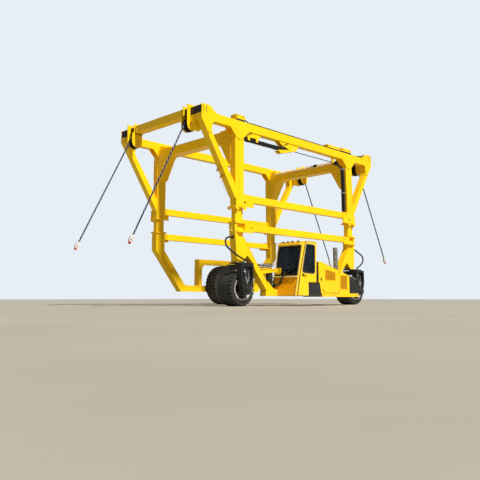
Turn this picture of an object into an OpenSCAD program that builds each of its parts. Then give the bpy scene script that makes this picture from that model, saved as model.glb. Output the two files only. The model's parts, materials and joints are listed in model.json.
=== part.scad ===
// Mobile container gantry on three rubber-tyred wheels, full size, in millimetres.
// X runs along the row of near wheels, the cab looks towards -X, -Y is the cab side, Z is up.

/* [Frame] */
// Distance from the outer face of the left legs to the outer face of the right legs
leg_span = 6020; // [5000:10:7000]
// Distance from the outer face of the cab-side legs to the outer face of the far legs
frame_width = 3960; // [3600:10:4400]
// Width of a leg, seen from the cab side
leg_w = 350; // [300:10:420]
// Depth of the legs, beams and struts, across the machine
leg_d = 240; // [200:10:300]
// Wall of the hollow upper legs
leg_wall = 14; // [10:1:20]
// Height of the top face of the long top beams
top_z = 5450; // [5000:10:6200]
// Height of the section of the long top beams
top_h = 250; // [200:10:300]
// Reach of the tip plates beyond the legs
tip_reach = 1345; // [1000:10:1700]
// Height of the lower end of the upper legs, at the lift position of the photograph
upper_z = 2830; // [2500:10:3300]
// Height of the top of the fixed lower legs
lower_z = 2415; // [2200:10:2500]

/* [Wheels] */
// Outer radius of the two steered tyres
tyre_r = 500; // [450:5:600]
// Width of the two steered tyres
tyre_w = 580; // [400:10:650]
// Outer radius of the large far tyre
far_tyre_r = 690; // [600:5:750]
// Width of the large far tyre
far_tyre_w = 500; // [400:10:560]
// Left kingpin, distance inside the outer face of the left legs
left_king_in = 340; // [250:10:500]
// Right kingpin, distance outside the outer face of the right legs
right_king_out = 100; // [0:10:200]

/* [Chains] */
// Outer radius of the chain sheaves
sheave_r = 200; // [180:5:220]
// Lean of the lifting chains from the vertical, towards the ends of the load
chain_lean = 26.4; // [0:0.1:30]
// Height of the lug holes at the lower ends of the chains
lug_z = 1700; // [1400:10:2400]

/* [Cab] */
// Reach of the cab and hood outside the near legs
cab_out = 730; // [600:10:900]
// Distance from the outer face of the left legs to the datum that the cab and hood are placed from
cab_datum = 3010; // [2900:10:3100]
// Height of the underside of the cab and the sill
sill_z = 290; // [250:10:400]
// Wall of the cab shell
cab_wall = 40; // [30:5:60]

/* [Hidden] */
$fn = 64;
eps = 0.3;
half = leg_span / 2;
near_y = -1630;
far_y = near_y + frame_width;
side_plate = 12;
tip_x = half + tip_reach;
beam_z = top_z - top_h;
tip_z = top_z + 185;
inner_w = 300;
inner_d = 160;
inner_top = beam_z - 550;

// Foot of the lower legs and the ties between them
fork_head = 240;
foot_z = 2 * tyre_r + fork_head;
foot_taper = 60;
sill_top = 465;
collar_h = 45;
collar_out = 45;

// Slide bars, chain beams, sheaves and chains at the tips
slide_x0 = tip_x - 250;
slide_x1 = tip_x - 10;
slide_z0 = beam_z + 175;
slide_z1 = beam_z + 405;
sheave_x = tip_x - 95;
sheave_y = 640;
sheave_z = beam_z - 70;
groove_r = sheave_r - 50;
chain_t = 24;
chain_r = groove_r + chain_t / 2 + eps;
chain_len = (sheave_z + chain_r * sin(chain_lean) - lug_z) / cos(chain_lean);
hoist_z = beam_z - 230;
hoist_r = 68;

// Wheels and steering
king_left = half - left_king_in;
king_right = half + right_king_out;
king_y = near_y + 130;
wheel_y0 = near_y + 50;
wheel_yc = wheel_y0 + tyre_w / 2;
far_wheel_yc = far_y - 330;
far_cap = 60;
port_z = lower_z - 455;

// Cab: outer face, inner face above the sill, and the raked front
side_y = near_y - cab_out;
cab_x = cab_datum - half;
cab_in_y = near_y + 240;
cab_low_z = sill_z + 10;
cab_nose = -1250;
cab_rake = 0.247;
cab_top = 1950;
step_top = 690;
room_inset = cab_wall + 2;
yellow = [0.96, 0.80, 0.05];
dark = [0.13, 0.14, 0.15];
black = [0.04, 0.04, 0.045];
silver = [0.72, 0.73, 0.75];

// Routes of the two hose loops: x outward from the leg's outer face, y from the near face, and z.
left_route = [[30.3, 110, port_z], [75, 110, port_z], [130, 110, port_z], [250, 90, port_z - 90],
  [300, 35, port_z - 250], [210, -30, foot_z + 340], [70, -65, foot_z + 240], [-100, -80, foot_z + 145],
  [-290, -62, foot_z + 95], [-390, -30, foot_z + 85], [-435, 45, foot_z + 85], [-450, 110, foot_z + 70],
  [-450, 120, foot_z + 35], [-450, 120, foot_z + 18], [-450, 120, foot_z + eps]];
right_route = [[30.3, 120, port_z + 25], [75, 120, port_z + 25], [125, 120, port_z + 25],
  [350, 100, port_z - 120], [470, 90, foot_z + 400], [430, 100, foot_z + 200], [320, 120, foot_z + 70],
  [310, 120, foot_z + 50], [310, 120, foot_z + 25], [310, 120, foot_z + eps]];

// Piece to draw

// Extrudes a profile drawn in x and z from y0 to y1.
module slab_y(y0, y1) {
  translate([0, y1, 0]) rotate([90, 0, 0]) linear_extrude(height = y1 - y0) children();
}

// Extrudes a profile drawn in y and z from x0 to x1.
module slab_x(x0, x1) {
  translate([x0, 0, 0]) rotate([90, 0, 90]) linear_extrude(height = x1 - x0) children();
}

// A box from its low corner to its high corner.
module span(a, b) {
  translate(a) cube(b - a);
}

// A round bar along Y.
module bar_y(x, z, r, y0, y1) {
  translate([x, y1, z]) rotate([90, 0, 0]) cylinder(r = r, h = y1 - y0);
}

// A round bar along X.
module bar_x(y, z, r, x0, x1) {
  translate([x0, y, z]) rotate([0, 90, 0]) cylinder(r = r, h = x1 - x0);
}

// The shape through the points p, listed anticlockwise, grown by r with round corners.
// The straight sides lie a hair inside the corner circles, so that they cross them cleanly.
module rounded(p, r) {
  n = len(p);
  hair = 0.05;
  polygon([for (i = [0:n - 1])
    let (a = p[i], b = p[(i + 1) % n], d = b - a, u = (r - hair) / norm(d) * [d[1], -d[0]])
    each [a + u, b + u]]);
  for (q = p) translate(q) circle(r = r);
}

// The x of the raked cab front at height z.
function cab_front(z) = cab_nose + cab_rake * (z - cab_low_z);

// A point of a smooth curve through the list p, at s from 0 to the last index.
function curve_point(p, s) =
  let (n = len(p) - 1, i = min(floor(s), n - 1), u = s - i,
    a = p[max(i - 1, 0)], b = p[i], c = p[i + 1], d = p[min(i + 2, n)])
  0.5 * (2 * b + (c - a) * u + (2 * a - 5 * b + 4 * c - d) * u * u + (3 * b - a - 3 * c + d) * u * u * u);

// A hose of radius r swept along a smooth curve through the list p.
module hose(p, r, sides = 10, steps = 4) {
  n = (len(p) - 1) * steps;
  pts = [for (k = [0:n]) curve_point(p, k / steps)];
  rings = [for (k = [0:n])
    let (t = pts[min(k + 1, n)] - pts[max(k - 1, 0)], u = cross(t, [0.1, 1, 0.05]), un = u / norm(u),
      v = cross(t, un), vn = v / norm(v))
    for (j = [0:sides - 1]) pts[k] + r * (cos(360 * j / sides) * un + sin(360 * j / sides) * vn)];
  walls = [for (k = [0:n - 1], j = [0:sides - 1])
    let (a = k * sides + j, b = k * sides + (j + 1) % sides) [a, b, b + sides, a + sides]];
  polyhedron(rings, concat([[for (j = [sides - 1:-1:0]) j]], walls, [[for (j = [0:sides - 1]) n * sides + j]]));
}

// Draws its children on the right and mirrored on the left.
module both_ends() {
  children();
  mirror([1, 0, 0]) children();
}

// Outline of the tip plate with its curved neck, right-hand end.
module tip_outline() {
  difference() {
    union() {
      polygon([[tip_x, beam_z + 20], [tip_x, tip_z], [tip_x - 300, tip_z], [tip_x - 360, tip_z - 22],
        [tip_x - 430, tip_z - 75], [tip_x - 655, tip_z - 75], [tip_x - 655, beam_z],
        [tip_x - 530, beam_z], [tip_x - 415, beam_z - 115], [tip_x - 395, beam_z - 300],
        [tip_x - 262, beam_z - 347]]);
      translate([tip_x - 320, beam_z - 300]) circle(r = 75);
    }
    translate([tip_x - 655, top_z + 300]) circle(r = 300);
    translate([tip_x - 530, beam_z - 115]) circle(r = 115);
  }
}

// Outline of the gusset where a leg meets the top beam, right-hand end.
module leg_gusset_outline() {
  polygon([[half + 220, beam_z + 20], [half - 600, beam_z + 20], [half - 600, beam_z],
    [half - 312, beam_z - 275], [half - 38, beam_z - 275], [half + 220, beam_z]]);
  intersection() {
    translate([half - leg_w / 2, beam_z - 170]) circle(r = 160);
    translate([half - leg_w, beam_z - 400]) square([leg_w, 200]);
  }
}

// Outline of the sloping strut from the tip to the leg, right-hand end.
module strut_outline() {
  polygon([[tip_x - 14, beam_z], [half, beam_z - 2115], [half, beam_z - 1710],
    [tip_x - 465, beam_z - 410], [tip_x - 408, beam_z - 270], [tip_x - 428, beam_z - 115],
    [tip_x - 428, beam_z]]);
}

// Draws its children on the near side, their outer face on y = 0 and their depth towards +y.
module near_side() {
  translate([0, near_y, 0]) children();
}

// Draws its children on the far side, mirrored.
module far_side() {
  translate([0, far_y, 0]) mirror([0, 1, 0]) children();
}

// A long top beam with the plates at its tips and over its legs.
module top_beam() {
  difference() {
    union() {
      span([-tip_x + 650, side_plate, beam_z], [tip_x - 650, leg_d - side_plate, top_z]);
      both_ends() {
        slab_y(side_plate, leg_d - side_plate) intersection() {
          tip_outline();
          translate([tip_x - 700, beam_z]) square([701, 400]);
        }
        for (y = [0, leg_d - side_plate]) {
          slab_y(y, y + side_plate) tip_outline();
          slab_y(y, y + side_plate) leg_gusset_outline();
        }
      }
    }
    // slot of the slide bar, open at the end and towards the load
    both_ends() span([slide_x0 - eps, side_plate, slide_z0 - eps], [tip_x + 1, leg_d + 1, slide_z1 + eps]);
  }
}

// The two hollow upper legs of a side, with guide collars and wear pads.
module upper_legs() {
  both_ends() {
    difference() {
      span([half - leg_w, side_plate, upper_z], [half, leg_d - side_plate, beam_z]);
      span([half - leg_w + leg_wall, leg_wall + side_plate, upper_z - 1],
        [half - leg_wall, leg_d - leg_wall - side_plate, beam_z + 1]);
    }
    // guide collar round the foot of the hollow leg
    difference() {
      span([half - leg_w - 45, -40, upper_z], [half + 45, leg_d + 40, upper_z + 45]);
      span([half - leg_w + leg_wall, leg_wall + side_plate, upper_z - 1],
        [half - leg_wall, leg_d - leg_wall - side_plate, upper_z + 46]);
    }
    // wear pads that guide the inner leg
    for (z = [upper_z + 10, upper_z + 770]) {
      difference() {
        span([half - leg_w + leg_wall, leg_wall + side_plate, z],
          [half - leg_wall, leg_d - leg_wall - side_plate, z + 160]);
        span([half - leg_w / 2 - inner_w / 2 - eps, leg_d / 2 - inner_d / 2 - eps, z - 1],
          [half - leg_w / 2 + inner_w / 2 + eps, leg_d / 2 + inner_d / 2 + eps, z + 161]);
      }
    }
  }
}

// The two sloping struts of a side, from the tips down to the legs.
module struts() {
  both_ends() slab_y(side_plate, leg_d - side_plate) strut_outline();
}

module near_top_beam() {
  color(yellow) near_side() {
    top_beam();
    translate([-half, 0, 0]) {
      // hanger of the chain-pulling cylinder, with two saddles
      slab_y(40, 200) polygon([[500, beam_z], [500, beam_z - 155], [1050, beam_z - 155], [1150, beam_z]]);
      difference() {
        for (x = [560, 920]) span([x, 40, hoist_z - 30], [x + 90, 200, beam_z - 155]);
        bar_x(leg_d / 2, hoist_z, hoist_r + eps, 500, 1100);
      }
      // forked plates that guide the rod end and the pull chain
      for (y = [36, 192]) slab_y(y, y + 12) polygon([[1990, beam_z - 30], [2140, beam_z - 120],
        [2520, beam_z - 210], [1940, beam_z - 310], [2090, beam_z - 400], [2870, beam_z - 190],
        [2980, beam_z], [2660, beam_z], [2300, beam_z], [1995, beam_z]]);
      bar_y(2700, beam_z - 155, 12, 36, 204);
      // anchor of the pull chain
      slab_y(90, 150) polygon([[4960, beam_z], [4960, beam_z - 220], [5020, beam_z - 220], [5110, beam_z]]);
    }
  }
}

module far_top_beam() {
  color(yellow) far_side() top_beam();
}

module near_upper_legs() {
  color(yellow) near_side() upper_legs();
}

module far_upper_legs() {
  color(yellow) far_side() upper_legs();
}

module near_struts() {
  color(yellow) near_side() struts();
}

module far_struts() {
  color(yellow) far_side() struts();
}

// Outline of a knee plate at y0, with the load on the side given by s.
module knee_outline(y0, s) {
  z0 = beam_z - 310;
  foot = beam_z - 1050;
  polygon([[y0 - s * 225, foot], [y0 + s * 60, foot], [y0 + s * 430, z0 - 90], [y0 + s * 520, z0],
    [y0 + s * 560, z0 + 40], [y0 + s * 10, z0 + 40], [y0 + s * 10, z0 - 35], [y0 - s * 225, z0 - 35]]);
}

// A portal beam over the load with a deep knee at each end, right-hand side.
module cross_beam() {
  y0 = near_y + leg_d;
  y1 = far_y - leg_d;
  z0 = beam_z - 310;
  z1 = beam_z - 20;
  foot = beam_z - 1050;
  slab_x(half - leg_w, half) polygon([[y0 - side_plate, foot], [y0 + 60, foot], [y0 + 430, z0 - 90],
    [y0 + 520, z0], [y1 - 520, z0], [y1 - 430, z0 - 90], [y1 - 60, foot], [y1 + side_plate, foot],
    [y1 + side_plate, z0 - 30], [y1, z0 - 30], [y1, z1], [y0, z1], [y0, z0 - 30], [y0 - side_plate, z0 - 30]]);
  // side plates that lap over the faces of the legs
  for (x = [half - leg_w - 12, half]) {
    slab_x(x, x + 12) knee_outline(y0, 1);
    slab_x(x, x + 12) knee_outline(y1, -1);
  }
  // upright stiffeners on the outer plates
  span([half + 12, y0 - 40, foot + 110], [half + 22, y0, foot + 540]);
  span([half + 12, y1, foot + 110], [half + 22, y1 + 40, foot + 540]);
  // stepped saddles on top, next to the long beams
  for (s = [[250, 130], [500, 60]]) {
    span([half - leg_w + 60, y0, z1], [half - 60, y0 + s[0], z1 + s[1]]);
    span([half - leg_w + 60, y1 - s[0], z1], [half - 60, y1, z1 + s[1]]);
  }
}

module cross_beams() {
  color(yellow) both_ends() cross_beam();
}

// The outboard beam that carries the lifting chains, right-hand side.
module chain_beam() {
  span([tip_x - 265, near_y + 800, beam_z + 200], [tip_x + 5, far_y - 800, beam_z + 425]);
}

// Bars that carry the chain beam and reach into the tips of the long beams.
module slide_bar() {
  span([slide_x0, side_plate, slide_z0], [slide_x1, 800, slide_z1]);
}

module slide_bars() {
  color(black) four_corners() slide_bar();
}

module chain_beams() {
  color(yellow) both_ends() chain_beam();
}

// One tie beam between the two legs of a side, bolted on at the collars.
module tie_beam() {
  z0 = upper_z + 190;
  z1 = upper_z + 400;
  difference() {
    union() {
      span([-half + leg_w, -36, z0], [half - leg_w, 150, z1]);
      both_ends() slab_y(-52, -40) polygon([[half + 30, upper_z + 30], [half + 30, upper_z + 300],
        [half - 320, z1], [half - 710, z1], [half - 710, upper_z + 30]]);
      both_ends() span([half - 710, -40, z0], [half - leg_w, 0, z1]);
      both_ends() span([half - leg_w, -40, upper_z + collar_h], [half, side_plate, z0 + 90]);
      both_ends() span([half - 690, -40, upper_z + collar_h], [half - leg_w - collar_out, -10, z0]);
    }
    both_ends() bar_y(half - 330, upper_z + 160, 21, -60, 0);
  }
}

module upper_tie_beams() {
  color(yellow) {
    near_side() tie_beam();
    far_side() tie_beam();
  }
}

// Draws its children at the four chain positions, from the right near one.
module four_corners() {
  for (mx = [0, 1], my = [0, 1]) {
    mirror([mx, 0, 0]) translate([0, (near_y + far_y) / 2, 0]) mirror([0, my, 0])
      translate([0, -frame_width / 2, 0]) children();
  }
}

// Outline of a cheek plate of the sheave housing, its upper part reaching out by the given distance.
module cheek_outline(out) {
  polygon([[sheave_x - 190, sheave_z], [sheave_x + 195, sheave_z], [sheave_x + 195, sheave_z + 240],
    [sheave_x + out, sheave_z + 300], [sheave_x + out, sheave_z + 570], [sheave_x - 190, sheave_z + 570]]);
  translate([sheave_x, sheave_z]) circle(r = 190);
}

// One sheave housing, its beam end on y = 0.
module sheave_housing() {
  difference() {
    union() {
      slab_y(500, 520) cheek_outline(200);
      slab_y(760, 780) cheek_outline(130);
      // rounded tab that closes the block towards the long beam
      slab_x(slide_x0 + 5, slide_x1 - 5) union() {
        translate([265, beam_z - 135]) square([270, 335]);
        translate([400, beam_z - 135]) circle(r = 135);
      }
      bar_x(440, beam_z - 60, 38, slide_x1 - 6, slide_x1 + 14);
    }
    span([slide_x0 - eps, -1, slide_z0 - eps], [slide_x1 + eps, 900, slide_z1 + eps]);
    bar_y(sheave_x, sheave_z, 40, 450, 900);
  }
  bar_y(sheave_x, sheave_z, 40, 470, 795);
}

module sheave_housings() {
  color(yellow) four_corners() sheave_housing();
}

module sheaves() {
  color(black) four_corners() translate([sheave_x, sheave_y, sheave_z]) rotate([90, 0, 0])
    rotate_extrude() polygon([[40, -60], [100, -60], [100, -45], [sheave_r, -45], [sheave_r, -36],
      [groove_r, -18], [groove_r, 18], [sheave_r, 36], [sheave_r, 45], [100, 45], [100, 60], [40, 60]]);
}

module lifting_chains() {
  color(silver) four_corners() translate([sheave_x, sheave_y, sheave_z]) rotate([0, -chain_lean, 0]) {
    span([chain_r - chain_t / 2, -16, -chain_len + 120], [chain_r + chain_t / 2, 16, 0]);
    difference() {
      slab_y(-30, 30) union() {
        translate([chain_r - 60, -chain_len]) square([120, 130]);
        translate([chain_r, -chain_len]) circle(r = 60);
      }
      bar_y(chain_r, -chain_len, 26, -40, 40);
    }
  }
}

module hoist_cylinder() {
  color(black) translate([-half, near_y + leg_d / 2, 0]) {
    bar_x(0, hoist_z, hoist_r, 380, 2400);
    bar_x(0, hoist_z, hoist_r + 12, 380, 420);
    bar_x(0, hoist_z, hoist_r - 30, 2400, 2640);
    // roller and pull chain that lead along the beam to the anchor
    difference() {
      bar_y(2700, beam_z - 155, 34, -30, 30);
      bar_y(2700, beam_z - 155, 12 + eps, -31, 31);
    }
    bar_x(0, beam_z - 155 - 34 - 8 - eps, 8, 2640, 4960);
    // covered pipe strip on top of the beam
    span([650, -90, top_z], [4560, -40, top_z + 38]);
  }
}

module top_valve_boxes() {
  color(yellow) translate([-half, near_y, 0]) {
    span([110, 70, top_z], [420, 220, top_z + 70]);
    span([80, 50, top_z + 70], [450, 300, top_z + 210]);
    span([4600, 20, top_z], [5370, 200, top_z + 140]);
    span([5470, 40, top_z], [6000, 190, top_z + 55]);
    span([5440, 20, top_z + 55], [6030, 210, top_z + 175]);
  }
}

module inner_legs() {
  color(yellow) for (s = [0, 1], e = [-1, 1]) {
    yc = s == 0 ? near_y + leg_d / 2 : far_y - leg_d / 2;
    translate([e * (half - leg_w / 2), yc, 0])
      span([-inner_w / 2, -inner_d / 2, lower_z], [inner_w / 2, inner_d / 2, inner_top]);
  }
}

// Front outline of the lower leg with its spread foot and sloping strut, right-hand end.
module foot_outline() {
  difference() {
    polygon([[half + collar_out, lower_z - collar_h], [half - leg_w, lower_z - collar_h],
      [half - leg_w, 1965], [half - 960, 1150], [half - 1360, 670], [half - 1780, sill_top],
      [half - 1960, sill_top], [half - 1960, sill_z], [half - 1270, sill_z], [half - 1285, 480],
      [half - 800, 1060], [half - 720, foot_z], [half - 265, foot_z], [half - foot_taper, foot_z],
      [half - 20, foot_z + 430], [half + 40, lower_z - 85]]);
    translate([half - 1780, sill_top + 534]) circle(r = 534);
    polygon([[half - 480, foot_z + 220], [half - 265, foot_z - 1], [half - 722, foot_z - 1]]);
  }
}

module near_lower_frame() {
  color(yellow) near_side() {
    both_ends() difference() {
      slab_y(0, leg_d) foot_outline();
      // pockets in the front of the leg, above and below the tie
      slab_y(-1, 60) rounded([[half - leg_w + 120, 2300], [half - leg_w + 120, 2260], [half - 140, 2260],
        [half - 140, 2300]], 80);
      slab_y(-1, 60) translate([half - leg_w - 1, 2180]) square([122, lower_z - collar_h - 2180]);
      slab_y(-1, 60) translate([half - leg_w - 1, 2300]) square([leg_w - 59, lower_z - collar_h - 2300]);
      slab_y(-1, 60) rounded([[half - 290, 2050], [half - 290, 2040], [half - 165, 2040], [half - 165, 2050]], 75);
    }
    span([-half + 1900, 0, sill_z], [half - 1900, leg_d, sill_top]);
    both_ends() span([half - leg_w - collar_out, -40, lower_z - collar_h],
      [half + collar_out, leg_d + 40, lower_z]);
    // hose ports on the outer faces of the legs
    bar_x(110, port_z, 34, -half - 30, -half + 60);
    bar_x(120, port_z + 25, 34, half - 60, half + 30);
  }
}

// The far lower frame: sloping struts from the legs to a bay for the large wheel.
module far_lower_frame() {
  color(yellow) far_side() {
    both_ends() {
      slab_y(0, leg_d) polygon([[half, lower_z - collar_h], [half - leg_w, lower_z - collar_h],
        [half - leg_w, 1800], [half - 1240, 690], [half - 1400, 660], [half - 2030, 660],
        [half - 2030, 450], [half - 1090, 450], [half, 1800]]);
      span([half - 2030, 0, 660], [half - 1890, leg_d, 1400]);
      slab_y(60, leg_d) difference() {
        polygon([[half - 2030, 1400], [half - 2030, 1190], [half - 2240, 1400]]);
        translate([half - 2240, 1190]) circle(r = 210);
      }
      span([half - leg_w - collar_out, -20, lower_z - collar_h],
        [half + collar_out, leg_d + 40, lower_z]);
    }
    span([-half + 1890, 0, 1400], [half - 1890, leg_d, 1580]);
    // outer plate that carries the axle of the large wheel
    difference() {
      slab_y(15 - far_cap, 55) union() {
        polygon([[-half + 1890, 450], [half - 1890, 450], [half - 1890, 660], [420, 660], [225, 845],
          [-225, 845], [-420, 660], [-half + 1890, 660]]);
        translate([0, far_tyre_r]) circle(r = 270);
      }
      bar_y(0, far_tyre_r, 110, -70, 70);
    }
  }
}

module lower_tie() {
  z1 = lower_z - collar_h;
  difference() {
    union() {
      span([-half + leg_w, -36, 2170], [half - leg_w, 150, z1]);
      both_ends() span([half - 690, -44, 2170], [half - 420, -36, z1]);
      both_ends() span([half - 690, -44, 2110], [half - 20, 0, 2170]);
    }
    both_ends() bar_y(half - 620, 2260, 21, -60, 10);
  }
}

module lower_tie_beams() {
  color(yellow) {
    near_side() lower_tie();
    far_side() lower_tie();
  }
}

module steering_bearings() {
  color(dark) {
    for (p = [[-king_left - 330, -king_left + 350], [king_right - 790, king_right + 300]])
      span([p[0], near_y - 20, foot_z - 35], [p[1], near_y + leg_d + 30, foot_z]);
    for (x = [-king_left, king_right]) {
      translate([x, king_y, foot_z - 48]) cylinder(r = 150, h = 13);
      translate([x, king_y, foot_z - 140]) cylinder(r = 60, h = 105);
    }
  }
}

// A single-sided steering fork with its kingpin on the origin of x and y.
module fork() {
  y0 = -275;
  top = foot_z - 53;
  difference() {
    union() {
      span([-245, y0, top - 32], [245, 320, top]);
      span([-205, -200, top - 137], [205, 290, top - 32]);
      slab_y(y0, -95) union() {
        polygon([[-245, top], [245, top], [245, 800], [178, tyre_r + 20], [150, tyre_r],
          [-150, tyre_r], [-178, tyre_r + 20], [-245, 800]]);
        translate([0, tyre_r]) circle(r = 180);
      }
      bar_y(0, tyre_r, 89.95, -100, 300);
    }
    translate([0, 0, foot_z - 141]) cylinder(r = 60.05, h = 100);
    // recess between the flanges, and the opening through the web
    slab_y(y0 - 1, -200) rounded([[-150, 840], [-95, 600], [95, 600], [150, 840], [150, top - 90],
      [-150, top - 90]], 40);
    slab_y(-201, -94) rounded([[-110, 985], [-25, 780], [95, 985]], 25);
  }
  // hub drive on the outer face
  bar_y(0, tyre_r, 120, y0 - 15, y0 + 76);
}

module left_fork() {
  color(dark) translate([-king_left, king_y, 0]) fork();
}

module right_fork() {
  color(dark) translate([king_right, king_y, 0]) fork();
}

// A steered wheel's rim: barrel, dished disc and hub, axis along y, middle on the origin.
module small_rim() {
  w = tyre_w / 2;
  rotate([90, 0, 0]) rotate_extrude() polygon([
    [90, -130], [150, -130], [150, -60], [318, -60], [318, -w + 12], [330, -w], [352, -w], [352, -w + 20],
    [340, -w + 36], [340, w - 36], [352, w - 20], [352, w], [330, w], [318, w - 12],
    [318, -20], [150, -20], [150, 30], [90, 30]]);
}

module small_tyre() {
  w = tyre_w / 2;
  r = tyre_r;
  rotate([90, 0, 0]) rotate_extrude() polygon([
    [340, -w + 36], [352, -w + 20.3], [400, -w + 6], [450, -w], [r - 18, -w + 16], [r, -w + 50],
    [r, w - 50], [r - 18, w - 16], [450, w], [400, w - 6], [352, w - 20.3], [340, w - 36]]);
}

module left_rim() {
  color(silver) translate([-king_left, wheel_yc, tyre_r]) small_rim();
}

module right_rim() {
  color(silver) translate([king_right, wheel_yc, tyre_r]) small_rim();
}

module left_tyre() {
  color(black) translate([-king_left, wheel_yc, tyre_r]) small_tyre();
}

module right_tyre() {
  color(black) translate([king_right, wheel_yc, tyre_r]) small_tyre();
}

module far_axle() {
  color(dark) {
    bar_y(0, far_tyre_r, 109.95, far_wheel_yc - 120, far_y + far_cap - 15);
    difference() {
      bar_y(0, far_tyre_r, 190, far_y - 75, far_y - 55);
      bar_y(0, far_tyre_r, 100, far_y - 80, far_y - 50);
    }
    bar_y(0, far_tyre_r, 150, far_y + far_cap - 15, far_y + far_cap);
  }
}

module far_rim() {
  w = far_tyre_w / 2;
  color(silver) translate([0, far_wheel_yc, far_tyre_r]) rotate([90, 0, 0]) rotate_extrude() polygon([
    [110, -90], [200, -90], [200, -30], [430, -30], [430, -w + 12], [442, -w], [466, -w], [466, -w + 20],
    [452, -w + 36], [452, w - 36], [466, w - 20], [466, w], [442, w], [430, w - 12], [430, 10],
    [200, 10], [200, 90], [110, 90]]);
}

module far_tyre() {
  w = far_tyre_w / 2;
  r = far_tyre_r;
  color(black) translate([0, far_wheel_yc, far_tyre_r]) rotate([90, 0, 0]) rotate_extrude() polygon([
    [452, -w + 36], [466, -w + 20.3], [540, -w + 4], [600, -w], [r - 22, -w + 20], [r, -w + 60],
    [r, w - 60], [r - 22, w - 20], [600, w], [540, w - 4], [466, w - 20.3], [452, w - 36]]);
}

// Side outline of the cab, with its raked windscreen.
module cab_outline() {
  polygon([[cab_nose, cab_low_z], [-260, cab_low_z], [-260, 730], [-208, cab_top - 85],
    [-168, cab_top - 45], [-205, cab_top], [-790, cab_top], [-835, cab_top - 22],
    [cab_front(cab_top - 55), cab_top - 55]]);
}

// Inner outline of the cab, a wall smaller.
module cab_room_outline() {
  polygon([[cab_front(420) + room_inset, 420], [-690, 420], [-690, 740], [-300, 740],
    [-248, cab_top - cab_wall], [-715, cab_top - cab_wall],
    [cab_front(cab_top - 85) + room_inset, cab_top - 85]]);
}

// Puts the cab, the hood and what they carry in their place along the frame.
module at_cab() {
  translate([cab_x, 0, 0]) children();
}

// Keeps the part of a profile above height z.
module above(z) {
  intersection() {
    children();
    translate([-2000, z]) square([2000, 2000]);
  }
}

module cab_shell() {
  color(yellow) at_cab() difference() {
    union() {
      slab_y(side_y, near_y) cab_outline();
      slab_y(near_y - 1, cab_in_y) above(sill_top + 15) cab_outline();
      // lip under the windscreen
      slab_y(side_y + 10, cab_in_y) polygon([[cab_front(840), 840], [cab_front(840) - 45, 848],
        [cab_front(870) - 45, 872], [cab_front(890), 890]]);
      bar_x(near_y - 330, 760, 22, cab_front(760) - 12, cab_front(760) + 30);
    }
    slab_y(side_y + cab_wall, near_y - cab_wall) cab_room_outline();
    slab_y(near_y - cab_wall - 1, cab_in_y - cab_wall) above(sill_top + 15 + cab_wall) cab_room_outline();
    // door opening
    slab_y(side_y - 1, side_y + cab_wall + 1) polygon([[-1130, 420], [-700, 420], [-700, 760], [-320, 760],
      [-290, 1880], [-735, 1880], [-990, 1010]]);
    // windscreen opening
    slab_y(side_y + 60, cab_in_y - 60) polygon([[cab_front(900) - 60, 900], [cab_front(900) + 70, 900],
      [cab_front(1800) + 70, 1800], [cab_front(1800) - 60, 1800]]);
    // rear window and frame-side window
    span([-330, side_y + 110, 1350], [-150, cab_in_y - 110, 1820]);
    slab_y(cab_in_y - cab_wall - 1, cab_in_y + 1) rounded([[-960, 1130], [-400, 1130], [-380, 1770],
      [-770, 1770]], 50);
    // recess for the step
    span([-640, side_y - 1, sill_z], [-200, side_y + 380, step_top]);
  }
}

module cab_glass() {
  color([0.1, 0.15, 0.2]) at_cab() {
    slab_y(side_y + 60 + eps, cab_in_y - 60 - eps) polygon([[cab_front(900) + 12, 900 + eps],
      [cab_front(900) + 25, 900 + eps], [cab_front(1800) + 25, 1800 - eps], [cab_front(1800) + 12, 1800 - eps]]);
    slab_y(cab_in_y - 26, cab_in_y - 16) rounded([[-960, 1130], [-400, 1130], [-380, 1770], [-770, 1770]],
      50 - eps);
    slab_y(side_y + 110 + eps, cab_in_y - 110 - eps) polygon([[-260, 1350 + eps], [-250, 1350 + eps],
      [-229, 1820 - eps], [-239, 1820 - eps]]);
  }
}

module cab_door() {
  color(yellow) at_cab() difference() {
    slab_y(side_y - 30, side_y - eps) polygon([[-1165, cab_low_z + 10], [-660, cab_low_z + 10],
      [-660, step_top + 20], [-270, step_top + 20], [-218, cab_top - 25], [-735, cab_top - 25], [-1010, 1010]]);
    slab_y(side_y - 40, side_y + 10) door_window(50);
  }
}

// The door window, with round corners of radius r.
module door_window(r) {
  rounded([[-865, 1065], [-415, 1045], [-390, 1775], [-680, 1785]], r);
}

module door_glass() {
  color([0.1, 0.15, 0.2]) at_cab() slab_y(side_y - 20, side_y - 12) door_window(50 - eps);
}

module roof_lamps() {
  color(yellow) at_cab() slab_y(side_y + 50, cab_in_y - 50) polygon([[cab_front(1835), 1835],
    [cab_front(1835) - 95, 1850], [cab_front(1835) - 70, 1905], [cab_front(1905), 1905]]);
}

module wiper() {
  color(black) at_cab() bar_x(near_y - 330, 760, 14, cab_front(760) - 40, cab_front(760) - 12);
}

module engine_hood() {
  color(yellow) at_cab() {
    difference() {
      slab_y(side_y, near_y) polygon([[20, 380], [1545, 380], [1555, 950], [910, 1120], [120, 1326],
        [35, 1350], [-100, 1350], [-100, step_top + 15], [-52, step_top + 15]]);
      // air inlet panels, set back
      slab_y(side_y - 1, side_y + 14) rounded([[240, 800], [750, 800], [755, 1015], [260, 1108]], 20);
      slab_y(side_y - 1, side_y + 14) rounded([[1060, 530], [1385, 520], [1400, 930], [1075, 940]], 20);
    }
    span([-180, side_y + 120, step_top + 15], [-100, near_y, 1310]);
    // collar of the exhaust stack
    translate([1410, near_y - 300, 900]) cylinder(r = 92, h = 180);
  }
}

module cab_step() {
  color(dark) at_cab() slab_y(side_y, side_y + 380) polygon([[-640, cab_low_z], [10, cab_low_z],
    [-75, step_top], [-640, step_top]]);
}

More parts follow.
